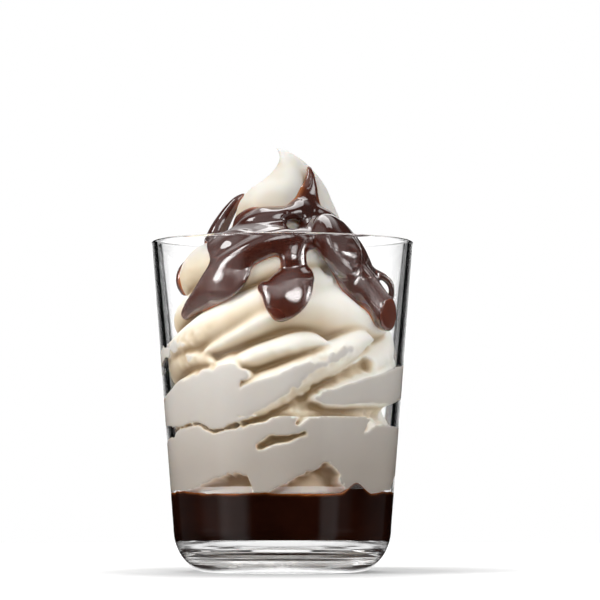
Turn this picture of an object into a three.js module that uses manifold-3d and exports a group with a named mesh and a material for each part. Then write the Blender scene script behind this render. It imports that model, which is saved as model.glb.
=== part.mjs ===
// Ice cream sundae in a tapered tumbler. Millimetres, +Z up, origin at the centre of the base.
// The tumbler holds a layer of chocolate sauce, a piped swirl of soft serve above it,
// and chocolate sauce poured over the peak. The front of the sundae faces -Y.
import * as THREE from "three";
import { mergeVertices } from "three/addons/utils/BufferGeometryUtils.js";
import Module from "manifold-3d";

// Tumbler.
const GLASS_HEIGHT = 101.3;
const RIM_RADIUS = 40.35;
const SIDE_TAPER = 0.0785;
const FOOT_RADIUS = 23;
const FOOT_CORNER = 13.5;
const PUNT_RADIUS = 19;
const PUNT_DEPTH = 1.2;
const FLOOR_HEIGHT = 8.5;
const FLOOR_RADIUS = 23;
const FLOOR_CORNER = 5.5;
const RIM_ROUNDING = 0.8;
const WALL_AT_RIM = 1.8;
const WALL_AT_FOOT = 3.1;
const GLASS_SEGMENTS = 44;

// Gap left between pieces that touch.
const GAP = 0.3;

// Bottom layer of sauce.
const LAYER_HEIGHT = 24;
const LAYER_EDGE = 27;
const LAYER_SEGMENTS = 40;
// Places where the layer climbs the wall: azimuth and half width in degrees, rise.
const LAYER_RISES = [
  { azimuth: 43, width: 6.5, rise: 3.4 },
  { azimuth: 72, width: 12, rise: 0.9 },
  { azimuth: -68, width: 14, rise: 0.9 },
  { azimuth: -12, width: 10, rise: 0.4 },
  { azimuth: 150, width: 20, rise: 1.2 },
  { azimuth: -140, width: 16, rise: 0.8 },
];

// Swirl: number of points round each row of the loft, and bands of rows with their spacing.
const SWIRL_SEGMENTS = 104;
const TIP_HEIGHT = 130;
const LAYER_GAP = 0.48;
const FIRST_ROW = LAYER_HEIGHT + LAYER_GAP;
const ROW_BANDS = [
  { to: 72, step: 1.6 },
  { to: 94, step: 1.6 },
  { to: 110, step: 1.3 },
  { to: 129, step: 1.9 },
];
// The poured sauce is laid over every second row and column of the swirl, and then cut to fit it.
const SAUCE_STRIDE = 2;
const SAUCE_GAP = 0.4;
const UNDERSIDE_GAP = 0.4;
// Largest deviation of the facets from the sampled form.
const SWIRL_TOLERANCE = 0.25;
const SAUCE_TOLERANCE = 0.21;
const UNDERSIDE_TOLERANCE = 0.1;

// Core of the swirl: height and radius.
const CORE = [
  [20, 30.5],
  [60, 30.5],
  [75, 29],
  [90, 24],
  [100, 18],
  [104, 10],
];

// Centre line of the swirl, bent at the peak: height, x, y.
const CENTRE = [
  [20, 0, 0],
  [90, 0, 0],
  [104, 2, 1],
  [118, 3, 0],
  [124.5, 3.2, -1],
  [128.7, -0.2, -1],
  [130, -1.7, -1],
];

// Folds of the piped rope. Each runs along an arc round the glass through a few stations:
// azimuth in degrees (0 at the front, + to the right), height, reach from the axis, half height.
// Depth is radial, lean tips the section inward at its top, blend softens the crease to its neighbours.
const FOLDS = [
  {
    name: "shoulder",
    depth: 12,
    lean: 0,
    blend: 1.2,
    stations: [
      [-165, 80, 29.1, 8],
      [-85, 90.5, 31.4, 10],
      [-55, 92, 30, 9.5],
      [-25, 95, 27.5, 8],
      [40, 99, 23.5, 5],
    ],
  },
  {
    name: "upper",
    depth: 9,
    lean: 5,
    blend: 2,
    stations: [
      [-150, 66, 33.5, 7],
      [-80, 77.5, 33.1, 7],
      [-45, 83.5, 30.8, 6.5],
      [-10, 90.5, 28.6, 6.5],
      [45, 97, 24, 6],
    ],
  },
  {
    name: "crest",
    depth: 9,
    lean: -14,
    blend: 1,
    stations: [
      [-130, 58, 35, 7],
      [-95, 65.5, 36.2, 4.5],
      [-55, 70.8, 35.5, 7.5],
      [-18, 78, 32.9, 9],
      [12, 85, 29.9, 7.5],
      [30, 89, 28, 6],
    ],
  },
  {
    name: "front",
    depth: 10,
    lean: 12,
    blend: 4,
    stations: [
      [-45, 63.5, 34.5, 2.5],
      [-20, 70.8, 34.8, 4],
      [0, 76.8, 33.5, 6],
      [20, 78.6, 32.7, 8.6],
      [35, 77.6, 32.7, 9.6],
      [50, 74.8, 33.3, 6.4],
      [80, 73, 33.5, 4],
    ],
  },
  {
    name: "left_lens",
    depth: 8,
    lean: 10,
    blend: 1,
    stations: [
      [-115, 57, 34.5, 6],
      [-75, 62, 34.7, 5.5],
      [-50, 64, 34.9, 4.5],
      [-35, 62.5, 34.5, 3],
    ],
  },
  {
    name: "flute",
    depth: 7,
    lean: 10,
    blend: 1,
    stations: [
      [-30, 61, 33.9, 4],
      [-10, 65, 34.5, 4.2],
      [10, 68, 34.5, 4.2],
      [24, 68.5, 33.8, 3.4],
    ],
  },
  {
    name: "belly",
    depth: 9,
    lean: 28,
    blend: 2.5,
    stations: [
      [-45, 47, 35, 7],
      [-10, 53.3, 35.8, 7.6],
      [13, 59.3, 35.8, 6.2],
      [43, 67, 35.5, 5.2],
      [53, 68.5, 34.1, 4],
    ],
  },
  {
    name: "left_press",
    depth: 9,
    lean: 10,
    blend: 1,
    stations: [
      [-130, 38, 35.5, 8],
      [-90, 46.5, 36.3, 8],
      [-60, 52, 36.5, 8.5],
      [-30, 57, 36.5, 9.5],
      [-20, 59, 36.3, 9.8],
    ],
  },
  {
    name: "right_rear",
    depth: 9,
    lean: 5,
    blend: 2,
    stations: [
      [0, 50, 31.5, 6],
      [50, 61, 33.5, 7.5],
      [75, 66, 34.3, 7],
      [135, 78, 33.3, 8],
      [205, 94, 28, 8],
    ],
  },
  {
    name: "right_press",
    depth: 8,
    lean: 10,
    blend: 1,
    stations: [
      [8, 51.5, 34.5, 2],
      [25, 52.5, 35.7, 4],
      [45, 54.5, 36.4, 5.6],
      [95, 60.5, 36.3, 9],
      [150, 71, 34, 8],
      [200, 80, 30.6, 8],
    ],
  },
  {
    name: "rear_upper",
    depth: 9,
    lean: 12,
    blend: 1,
    stations: [
      [84, 40, 35.1, 6],
      [120, 47.5, 35.7, 7.5],
      [165, 57, 35.3, 7.5],
      [215, 67, 33.7, 7],
    ],
  },
  {
    name: "rear_middle",
    depth: 9,
    lean: 12,
    blend: 1,
    stations: [
      [110, 30, 34, 6],
      [150, 39, 35.3, 7.5],
      [190, 48, 35.5, 7.5],
      [232, 58, 35, 7],
    ],
  },
  {
    name: "rear_lower",
    depth: 9,
    lean: 12,
    blend: 1,
    stations: [
      [160, 24, 33.5, 6],
      [195, 31, 34.7, 7],
      [235, 39.5, 35.3, 7.5],
    ],
  },
];

// The pressed part below the folds fills the glass up to this height, at the front and at the back.
const PRESSED_TOP = 47;
const PRESSED_TOP_REAR = 27;
const PRESSED_RADIUS = 36.5;

// Creases where the pressed part stands back from the wall: depth, then azimuth, height, half width.
const CREASES = [
  {
    depth: 4.5,
    stations: [
      [-64, 43.8, 0.35],
      [-47, 45, 0.5],
      [-37, 42.4, 0.35],
      [-9, 46.5, 0.9],
      [5, 50.6, 1.9],
      [12, 50.3, 2.8],
      [24, 48.6, 0.8],
      [38, 49.2, 0.35],
      [60, 47.4, 2.4],
      [88, 47.5, 3.2],
      [105, 50, 2.5],
    ],
  },
  {
    depth: 5,
    stations: [
      [10, 51.5, 2.6],
      [18, 55.6, 1.4],
      [30, 58.5, 1.9],
      [50, 63, 3],
    ],
  },
  {
    depth: 3.5,
    stations: [
      [14, 49, 1.5],
      [8, 44.9, 0.3],
    ],
  },
  {
    depth: 3,
    stations: [
      [56, 47.5, 2],
      [46.5, 42.4, 0.3],
    ],
  },
  {
    depth: 4,
    stations: [
      [-11.5, 38, 0.9],
      [-5, 40, 1.5],
      [3, 40.4, 0.7],
      [11.5, 42, 0.3],
    ],
  },
  {
    depth: 5,
    stations: [
      [-66, 24, 0.3],
      [-50, 25, 1],
      [-24, 26, 4.2],
      [-20, 24, 2.5],
    ],
  },
  {
    depth: 3,
    stations: [
      [-110, 38, 0.5],
      [-90, 41.5, 2.2],
      [-64, 43.8, 0.4],
    ],
  },
  {
    depth: 3.5,
    stations: [
      [78, 24, 1],
      [86, 27, 2.2],
      [98, 30, 1.2],
    ],
  },
  {
    depth: 6,
    stations: [
      [-4, 24, 1],
      [6, 25, 2.8],
      [24, 27.5, 5.2],
      [34, 24, 2],
    ],
  },
];
const CREASE_ROUNDING = 1.2;

// Lobes of the peak: height, centre x, centre y, radius.
const LOBES = [
  [
    [90, -4, -3, 19],
    [104, -4, -3, 12.2],
    [108, -3.8, -3, 10.8],
    [113.7, -3.2, -2.5, 9.6],
    [117.7, -1.3, -2, 8.2],
    [121.3, 1, -1.5, 5.6],
    [124.5, 1.9, -1, 3.7],
    [127, 1.6, -1, 2.5],
    [128.5, 0.5, -1, 1.6],
    [130, -1.7, -1, 0.3],
  ],
  [
    [90, 13, 1, 11],
    [104, 11, 1.5, 8],
    [113.7, 10, 1.5, 5.2],
    [117.7, 9.3, 1, 4.3],
    [121.3, 7.8, 0, 3.4],
    [124.5, 5.6, -0.5, 2.8],
    [126.6, 4, -0.6, 2.1],
    [129, 1, -1, 0.6],
  ],
  [
    [90, 1, 9, 18],
    [104, 2, 7, 11],
    [112, 3, 4, 7.5],
    [118, 4, 2, 4.5],
    [125, 3, 0, 0.5],
  ],
];
const LOBE_SLOPE = 0.8;

// Sheet of sauce round the base of the peak: azimuth about the centre line, lower edge, upper edge.
const SHEET = [
  [-180, 99.5, 104.5],
  [-110, 100, 104.5],
  [-80, 101.5, 104],
  [-56, 99.5, 103.5],
  [-50, 97, 105],
  [-45, 95, 108.5],
  [-33, 94, 110.8],
  [-12, 95.4, 111],
  [0, 95.4, 109.6],
  [11, 95.4, 110.7],
  [14, 101, 111],
  [22, 101, 112],
  [27, 96, 112.5],
  [50, 94, 113],
  [66, 94, 111],
  [76, 95, 104.5],
  [90, 98, 104.5],
  [130, 99.5, 105],
  [180, 99.5, 104.5],
];
const SHEET_THICKNESS = 2.6;
// Opening in the sheet: azimuth, height, half width, half height.
const SHEET_HOLE = [5, 106.6, 1.9, 1.5];

// Runs of the poured sauce down the swirl: thickness, then azimuth about the centre line, height, half width.
const RUNS = [
  {
    name: "peak_streak",
    thickness: 2.0,
    stations: [
      [67, 123.6, 0.8],
      [58, 120.7, 1.5],
      [51, 117.2, 2.6],
      [43, 114.8, 3.8],
      [36, 112.6, 5.3],
      [37, 107.5, 5.8],
    ],
  },
  {
    name: "upper_rope",
    thickness: 3.4,
    stations: [
      [40, 112, 3],
      [10, 109.6, 3.6],
      [-11, 107.4, 2.5],
      [-29, 106.3, 2.6],
      [-41, 104.8, 3],
      [-46, 102.4, 2],
    ],
  },
  {
    name: "lower_rope",
    thickness: 4.3,
    stations: [
      [11, 100, 4],
      [1, 99.3, 3.8],
      [-12, 97.9, 3.8],
      [-22, 95.5, 4.1],
      [-31, 92.3, 5.1],
      [-36, 88.8, 7.3],
      [-44, 85, 4.8],
      [-56, 80.7, 2.9],
      [-65, 78, 1.8],
    ],
  },
  {
    name: "left_drip",
    thickness: 2.3,
    stations: [
      [-34, 96.9, 7.4],
      [-34, 92.9, 6.4],
      [-34, 89.3, 8.4],
      [-39, 85.4, 4.9],
      [-48, 81.9, 3.3],
    ],
  },
  {
    name: "centre_drip",
    thickness: 2.6,
    stations: [
      [4, 97.7, 4.8],
      [6, 93.6, 4.2],
      [8, 90, 4.4],
      [6, 87.2, 5.6],
      [3, 84.7, 7.2],
      [1, 81.7, 6.4],
      [-2, 79.5, 4.6],
      [-3, 77.8, 3],
    ],
  },
  {
    name: "right_drip",
    thickness: 5.4,
    stations: [
      [58, 102, 9],
      [63, 97.5, 11],
      [65, 93.5, 11.3],
      [64, 89.8, 10.7],
      [79, 86.3, 9.7],
    ],
  },
  {
    name: "right_edge",
    thickness: 1.5,
    stations: [
      [61, 117.7, 0.7],
      [60, 110.7, 1.3],
      [60, 106.8, 2.1],
      [64, 103.6, 3.3],
    ],
  },
  {
    name: "left_sliver",
    thickness: 2,
    stations: [
      [-124, 101, 3],
      [-104, 95, 2.8],
      [-98, 89, 2.2],
      [-101, 86, 1.6],
    ],
  },
  {
    name: "rear_drip_long",
    thickness: 2.6,
    stations: [
      [150, 101, 4],
      [148, 92, 3.2],
      [146, 84, 3.2],
      [145, 79, 3.4],
    ],
  },
  {
    name: "rear_drip_short",
    thickness: 2.4,
    stations: [
      [205, 101, 4.5],
      [209, 94, 3],
      [212, 89, 3.2],
    ],
  },
];
const RUN_SEGMENTS = 10;
const RUN_SUBDIVISION = 2;
const ROUNDEST = 1.6;

// Runs that stand off the swirl: flatness, then azimuth, height, radius, half width.
// The right one meets the wall.
const FREE_RUNS = [
  {
    name: "right_end",
    flatness: 0.9,
    stations: [
      [59, 91, 23.3, 5.6],
      [58, 86, 27.5, 5.2],
      [59, 80.6, 32.2, 4.9],
      [59, 77.2, 35.6, 4.8],
    ],
  },
  {
    name: "right_loop",
    flatness: 0.85,
    stations: [
      [83, 92.2, 24.2, 1.6],
      [86, 91.2, 28.5, 1.3],
      [88, 89.6, 31.6, 1.2],
      [90, 87.2, 33.6, 1.2],
      [92, 84.4, 33.8, 1.3],
      [93, 81.6, 32.4, 1.4],
      [93, 80, 30, 1.4],
    ],
  },
  {
    name: "left_rear",
    flatness: 0.85,
    stations: [
      [-92, 115.6, 12.2, 0.6],
      [-93, 113.9, 13.9, 1.7],
      [-94, 111.2, 16, 2.3],
      [-95, 108, 17.9, 2.7],
      [-94, 104.6, 19.6, 3.3],
      [-90, 101.2, 20.6, 3.4],
      [-81, 98, 19.8, 3],
    ],
  },
];

// Colours.
const GLASS_COLOUR = 0xdfe8ea;
const CREAM_COLOUR = 0xf1e8d6;
const SAUCE_COLOUR = 0x3a1a10;
const LAYER_COLOUR = 0x2c130b;

const DEGREE = Math.PI / 180;

function outerRadius(z) {
  return RIM_RADIUS - SIDE_TAPER * (GLASS_HEIGHT - z);
}

function innerRadius(z) {
  const share = (z - FLOOR_HEIGHT) / (GLASS_HEIGHT - FLOOR_HEIGHT);
  return outerRadius(z) - WALL_AT_FOOT - (WALL_AT_RIM - WALL_AT_FOOT) * share;
}

function clamp(value, low, high) {
  return Math.min(Math.max(value, low), high);
}

function smoothMin(a, b, k) {
  const h = Math.max(k - Math.abs(a - b), 0) / k;
  return Math.min(a, b) - h * h * k * 0.25;
}

// Straight interpolation in rows sorted by their first column.
function linear(rows, key, column) {
  let i = 0;
  while (i < rows.length - 2 && key > rows[i + 1][0]) {
    i += 1;
  }
  const share = clamp((key - rows[i][0]) / (rows[i + 1][0] - rows[i][0]), 0, 1);
  return rows[i][column] + (rows[i + 1][column] - rows[i][column]) * share;
}

// Slope of a column at row i, weighted by the spacing on both sides.
function slopeAt(rows, i, column) {
  const last = rows.length - 1;
  if (i === 0) {
    return (rows[1][column] - rows[0][column]) / (rows[1][0] - rows[0][0]);
  }
  if (i === last) {
    return (rows[last][column] - rows[last - 1][column]) / (rows[last][0] - rows[last - 1][0]);
  }
  const before = rows[i][0] - rows[i - 1][0];
  const after = rows[i + 1][0] - rows[i][0];
  const rise = before * before * rows[i + 1][column] - after * after * rows[i - 1][column];
  return (rise + (after * after - before * before) * rows[i][column]) / (before * after * (before + after));
}

// Smooth interpolation in rows sorted by their first column.
function smooth(rows, key, column) {
  let i = 0;
  while (i < rows.length - 2 && key > rows[i + 1][0]) {
    i += 1;
  }
  const span = rows[i + 1][0] - rows[i][0];
  const s = clamp((key - rows[i][0]) / span, 0, 1);
  const start = (2 * s ** 3 - 3 * s ** 2 + 1) * rows[i][column];
  const end = (3 * s ** 2 - 2 * s ** 3) * rows[i + 1][column];
  const leave = (s ** 3 - 2 * s ** 2 + s) * span * slopeAt(rows, i, column);
  const arrive = (s ** 3 - s ** 2) * span * slopeAt(rows, i + 1, column);
  return start + end + leave + arrive;
}

// Rows of a smooth table at a fixed step, for quick lookup.
function sampled(rows, step) {
  const table = [];
  const first = rows[0][0];
  const count = Math.round((rows[rows.length - 1][0] - first) / step);
  for (let i = 0; i <= count; i += 1) {
    const key = first + i * step;
    table.push(rows[0].map((_, column) => (column === 0 ? key : smooth(rows, key, column))));
  }
  return { first, step, table };
}

function lookUp(samples, key, column) {
  const { first, step, table } = samples;
  const place = clamp((key - first) / step, 0, table.length - 1.001);
  const i = Math.floor(place);
  return table[i][column] + (table[i + 1][column] - table[i][column]) * (place - i);
}

const foldTables = FOLDS.map((fold) => ({ ...fold, samples: sampled(fold.stations, 1) }));
const lobeTables = LOBES.map((rows) => ({ rows, samples: sampled(rows, 0.5) }));

// Distance to a fold: an ellipse carried along its arc, with rounded ends.
const END_LENGTH = 6;
const END_DEPTH = 3;
const MEAN_RADIUS = 34;
function foldDistance(azimuth, radius, z, fold) {
  const { samples } = fold;
  const first = samples.first;
  const last = samples.first + samples.step * (samples.table.length - 1);
  const middle = (first + last) / 2;
  const turned = ((((azimuth - middle + 180) % 360) + 360) % 360) - 180 + middle;
  const held = clamp(turned, first, last);
  const height = lookUp(samples, held, 1);
  const reach = lookUp(samples, held, 2);
  const half = lookUp(samples, held, 3);
  const fromEnd = Math.min(held - first, last - held) * DEGREE * MEAN_RADIUS;
  const taper = 1 - (1 - clamp(fromEnd / END_LENGTH, 0, 1)) ** 2;
  const full = Math.sqrt(Math.max(taper, 0.04));
  const halfHeight = half * full;
  const halfDepth = fold.depth * (0.4 + 0.6 * full);
  const beyond = Math.abs(turned - held) * DEGREE * radius;
  const out = radius - (reach - halfDepth);
  const up = z - height;
  const lean = fold.lean * DEGREE;
  const across = out * Math.cos(lean) + up * Math.sin(lean);
  const along = up * Math.cos(lean) - out * Math.sin(lean);
  const near = Math.hypot(across / halfDepth, along / halfHeight, beyond / END_DEPTH) + 1e-6;
  const steep = Math.hypot(across / halfDepth ** 2, along / halfHeight ** 2, beyond / END_DEPTH ** 2) + 1e-6;
  return (near * (near - 1)) / steep;
}

function lobeDistance(x, y, z, lobe) {
  const { rows, samples } = lobe;
  const centreX = lookUp(samples, z, 1);
  const centreY = lookUp(samples, z, 2);
  const radius = lookUp(samples, z, 3);
  const side = (Math.hypot(x - centreX, y - centreY) - radius) * LOBE_SLOPE;
  return Math.max(side, z - rows[rows.length - 1][0], rows[0][0] - z - 4);
}

// How far the creases hold the swirl off the wall.
const MM_PER_DEGREE = MEAN_RADIUS * DEGREE;
function creaseDepth(azimuth, z) {
  let deepest = 0;
  for (const { depth, stations } of CREASES) {
    for (let i = 0; i < stations.length - 1; i += 1) {
      const [a0, z0, w0] = stations[i];
      const [a1, z1, w1] = stations[i + 1];
      const px = (azimuth - a0) * MM_PER_DEGREE;
      const pz = z - z0;
      const ex = (a1 - a0) * MM_PER_DEGREE;
      const ez = z1 - z0;
      const t = clamp((px * ex + pz * ez) / (ex * ex + ez * ez), 0, 1);
      const inside = w0 + (w1 - w0) * t - Math.hypot(px - ex * t, pz - ez * t);
      if (inside > 0) {
        deepest = Math.max(deepest, depth * (1 - Math.exp(-inside / CREASE_ROUNDING)));
      }
    }
  }
  return deepest;
}

function azimuthOf(x, y) {
  return Math.atan2(x, -y) / DEGREE;
}

// The swirl before it is held by the glass. Extra blend gives the softer form that sauce takes on it.
function pipedDistance(x, y, z, extra) {
  const radius = Math.hypot(x, y);
  const azimuth = azimuthOf(x, y);
  let distance = Math.max(radius - linear(CORE, z, 1), z - CORE[CORE.length - 1][0]);
  for (const fold of foldTables) {
    distance = smoothMin(distance, foldDistance(azimuth, radius, z, fold), fold.blend + extra);
  }
  const behind = clamp((Math.abs(azimuth) - 92) / 30, 0, 1);
  const pressedTop = PRESSED_TOP + (PRESSED_TOP_REAR - PRESSED_TOP) * behind;
  distance = Math.min(distance, Math.max(radius - PRESSED_RADIUS, z - pressedTop));
  let peak = lobeDistance(x, y, z, lobeTables[0]);
  for (const lobe of lobeTables.slice(1)) {
    peak = smoothMin(peak, lobeDistance(x, y, z, lobe), 1.5 + extra);
  }
  return smoothMin(distance, peak, 2 + extra);
}

// Height of the bottom layer of sauce.
function layerHeight(x, y) {
  const radius = Math.hypot(x, y);
  const edge = clamp((radius - LAYER_EDGE) / (innerRadius(LAYER_HEIGHT) - LAYER_EDGE), 0, 1);
  let rise = 0;
  for (const bump of LAYER_RISES) {
    const off = ((((azimuthOf(x, y) - bump.azimuth + 180) % 360) + 360) % 360) - 180;
    rise = Math.max(rise, bump.rise * Math.exp(-((off / bump.width) ** 2)));
  }
  return LAYER_HEIGHT + rise * edge * edge * (3 - 2 * edge);
}

function swirlDistance(x, y, z) {
  const radius = Math.hypot(x, y);
  const held = radius - innerRadius(z) + GAP + creaseDepth(azimuthOf(x, y), z);
  return Math.max(pipedDistance(x, y, z, 0), held, layerHeight(x, y) + LAYER_GAP - z);
}

// Outermost radius about the centre line at which a body is met.
const MARCH_START = 44;
const MARCH_STEP = 0.7;
const SMALLEST_RADIUS = 0.12;
function outermost(azimuth, z, distance) {
  const centreX = linear(CENTRE, z, 1);
  const centreY = linear(CENTRE, z, 2);
  const alongX = Math.sin(azimuth * DEGREE);
  const alongY = -Math.cos(azimuth * DEGREE);
  let radius = MARCH_START;
  while (radius > SMALLEST_RADIUS) {
    const away = distance(centreX + alongX * radius, centreY + alongY * radius, z);
    if (away < 0.01) {
      return radius;
    }
    radius -= Math.max(away * MARCH_STEP, 0.02);
  }
  return SMALLEST_RADIUS;
}

function surfacePoint(azimuth, z, radius) {
  const x = linear(CENTRE, z, 1) + Math.sin(azimuth * DEGREE) * radius;
  const y = linear(CENTRE, z, 2) - Math.cos(azimuth * DEGREE) * radius;
  return [x, y, z];
}

// Sauce in the sheet: the softened swirl raised by the thickness of the sheet, with a rounded edge.
const SHEET_FLOOR = 90;
const SHEET_BLEND = 2;
const BEAD = 2.4;
function sheetDistance(x, y, z) {
  const centreX = linear(CENTRE, z, 1);
  const centreY = linear(CENTRE, z, 2);
  const azimuth = azimuthOf(x - centreX, y - centreY);
  const radius = Math.hypot(x - centreX, y - centreY);
  const [holeAzimuth, holeHeight, holeWidth, holeRise] = SHEET_HOLE;
  const aside = ((azimuth - holeAzimuth) * DEGREE * radius) / holeWidth;
  const offHole = (Math.hypot(aside, (z - holeHeight) / holeRise) - 1) * holeRise;
  const inside = Math.min(z - linear(SHEET, azimuth, 1), linear(SHEET, azimuth, 2) - z, offHole);
  const share = clamp(inside / BEAD, 0, 1);
  const raised = inside > 0 ? SHEET_THICKNESS * Math.sqrt(1 - (1 - share) ** 2) : inside;
  return pipedDistance(x, y, z, SHEET_BLEND) - raised;
}

// Closed body through rings of equal length, with a point at each end.
function ringLoft(rings, bottom, top) {
  const count = rings[0].length;
  const positions = [...rings.flat(2), ...bottom, ...top];
  const low = rings.length * count;
  const high = low + 1;
  const index = [];
  for (let i = 0; i < count; i += 1) {
    const next = (i + 1) % count;
    index.push(low, next, i);
    const lastRow = (rings.length - 1) * count;
    index.push(high, lastRow + i, lastRow + next);
    for (let row = 0; row < rings.length - 1; row += 1) {
      const a = row * count + i;
      const b = row * count + next;
      index.push(a, b, a + count);
      index.push(b, b + count, a + count);
    }
  }
  const geometry = new THREE.BufferGeometry();
  geometry.setAttribute("position", new THREE.Float32BufferAttribute(positions, 3));
  geometry.setIndex(index);
  return geometry;
}

function rowHeights() {
  const heights = [FIRST_ROW];
  for (const { to, step } of ROW_BANDS) {
    while (heights[heights.length - 1] + step <= to) {
      heights.push(heights[heights.length - 1] + step);
    }
  }
  return heights;
}

function ring(segments, pointAt) {
  return Array.from({ length: segments }, (_, i) => pointAt((360 * i) / segments));
}

// Loft of the swirl's kind from its radii, moved out by an allowance.
function swirlLoft(heights, radii, grow) {
  const rings = heights.map((z, row) => {
    const step = 360 / radii[row].length;
    const radiusAt = (azimuth) => radii[row][Math.round(azimuth / step)] + grow;
    return ring(radii[row].length, (azimuth) => surfacePoint(azimuth, z, radiusAt(azimuth)));
  });
  const tip = surfacePoint(0, TIP_HEIGHT + grow, 0);
  return ringLoft(rings, [0, 0, FIRST_ROW - grow], tip);
}

function everySecond(list) {
  return list.filter((_, i) => i % SAUCE_STRIDE === 0);
}

// Tube of oval section along points with a half width each, closed by rounded ends.
const CAP_STEPS = [
  [0.55, 0.83],
  [0.9, 0.44],
];
function tube(points, thicknessShare) {
  const rings = [];
  const ends = [];
  points.forEach(([x, y, z, width], i) => {
    const before = new THREE.Vector3(...points[Math.max(i - 1, 0)]);
    const after = new THREE.Vector3(...points[Math.min(i + 1, points.length - 1)]);
    const along = after.sub(before).normalize();
    const out = new THREE.Vector3(x, y, 0).normalize();
    out.addScaledVector(along, -out.dot(along)).normalize();
    const side = new THREE.Vector3().crossVectors(out, along);
    const centre = new THREE.Vector3(x, y, z);
    const ringAt = (shift, scale) =>
      ring(RUN_SEGMENTS, (turn) => {
        const aside = width * scale * Math.cos(turn * DEGREE);
        const off = width * scale * thicknessShare(width) * Math.sin(turn * DEGREE);
        return centre
          .clone()
          .addScaledVector(along, shift * width)
          .addScaledVector(side, aside)
          .addScaledVector(out, off)
          .toArray();
      });
    if (i === 0) {
      rings.push(...CAP_STEPS.map(([shift, scale]) => ringAt(-shift, scale)).reverse());
      ends.push(centre.clone().addScaledVector(along, -width).toArray());
    }
    rings.push(ringAt(0, 1));
    if (i === points.length - 1) {
      rings.push(...CAP_STEPS.map(([shift, scale]) => ringAt(shift, scale)));
      ends.push(centre.clone().addScaledVector(along, width).toArray());
    }
  });
  return ringLoft(rings, ends[0], ends[1]);
}

// A run of sauce, half sunk in the swirl.
function runTube({ thickness, stations }) {
  const rows = stations.map((station, i) => [i, ...station]);
  const count = (stations.length - 1) * RUN_SUBDIVISION;
  const points = [];
  for (let i = 0; i <= count; i += 1) {
    const key = i / RUN_SUBDIVISION;
    const azimuth = smooth(rows, key, 1);
    const z = smooth(rows, key, 2);
    const soft = (px, py, pz) => pipedDistance(px, py, pz, SHEET_BLEND);
    points.push([...surfacePoint(azimuth, z, outermost(azimuth, z, soft)), smooth(rows, key, 3)]);
  }
  return tube(points, (width) => Math.min(thickness / width, ROUNDEST));
}

function freeTube({ flatness, stations }) {
  const points = stations.map(([azimuth, z, radius, width]) => [
    Math.sin(azimuth * DEGREE) * radius,
    -Math.cos(azimuth * DEGREE) * radius,
    z,
    width,
  ]);
  return tube(points, () => flatness);
}

const wasm = await Module();
wasm.setup();

function toManifold(geometry) {
  const plain = geometry.clone();
  plain.deleteAttribute("normal");
  plain.deleteAttribute("uv");
  const merged = mergeVertices(plain, 1e-5);
  const mesh = new wasm.Mesh({
    numProp: 3,
    vertProperties: new Float32Array(merged.attributes.position.array),
    triVerts: new Uint32Array(merged.index.array),
  });
  return new wasm.Manifold(mesh);
}

// Simplified facets of a solid. Only the largest closed surface is kept, so pockets are filled.
function toGeometry(solid, tolerance) {
  const mesh = solid.asOriginal().simplify(tolerance).getMesh();
  const corners = mesh.vertProperties;
  const triangles = mesh.triVerts;
  const parent = Array.from({ length: corners.length / 3 }, (_, i) => i);
  const rootOf = (i) => {
    let root = i;
    while (parent[root] !== root) {
      parent[root] = parent[parent[root]];
      root = parent[root];
    }
    return root;
  };
  for (let i = 0; i < triangles.length; i += 3) {
    parent[rootOf(triangles[i + 1])] = rootOf(triangles[i]);
    parent[rootOf(triangles[i + 2])] = rootOf(triangles[i]);
  }
  const volumes = new Map();
  const corner = (i) => new THREE.Vector3().fromArray(corners, triangles[i] * 3);
  for (let i = 0; i < triangles.length; i += 3) {
    const root = rootOf(triangles[i]);
    const volume = corner(i).dot(corner(i + 1).cross(corner(i + 2)));
    volumes.set(root, (volumes.get(root) ?? 0) + volume);
  }
  const [largest] = [...volumes.entries()].reduce((best, entry) => (entry[1] > best[1] ? entry : best));
  const index = [];
  for (let i = 0; i < triangles.length; i += 3) {
    if (rootOf(triangles[i]) === largest) {
      index.push(triangles[i], triangles[i + 1], triangles[i + 2]);
    }
  }
  const geometry = new THREE.BufferGeometry();
  geometry.setAttribute("position", new THREE.Float32BufferAttribute(corners, 3));
  geometry.setIndex(index);
  return mergeVertices(geometry, 1e-6);
}

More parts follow.
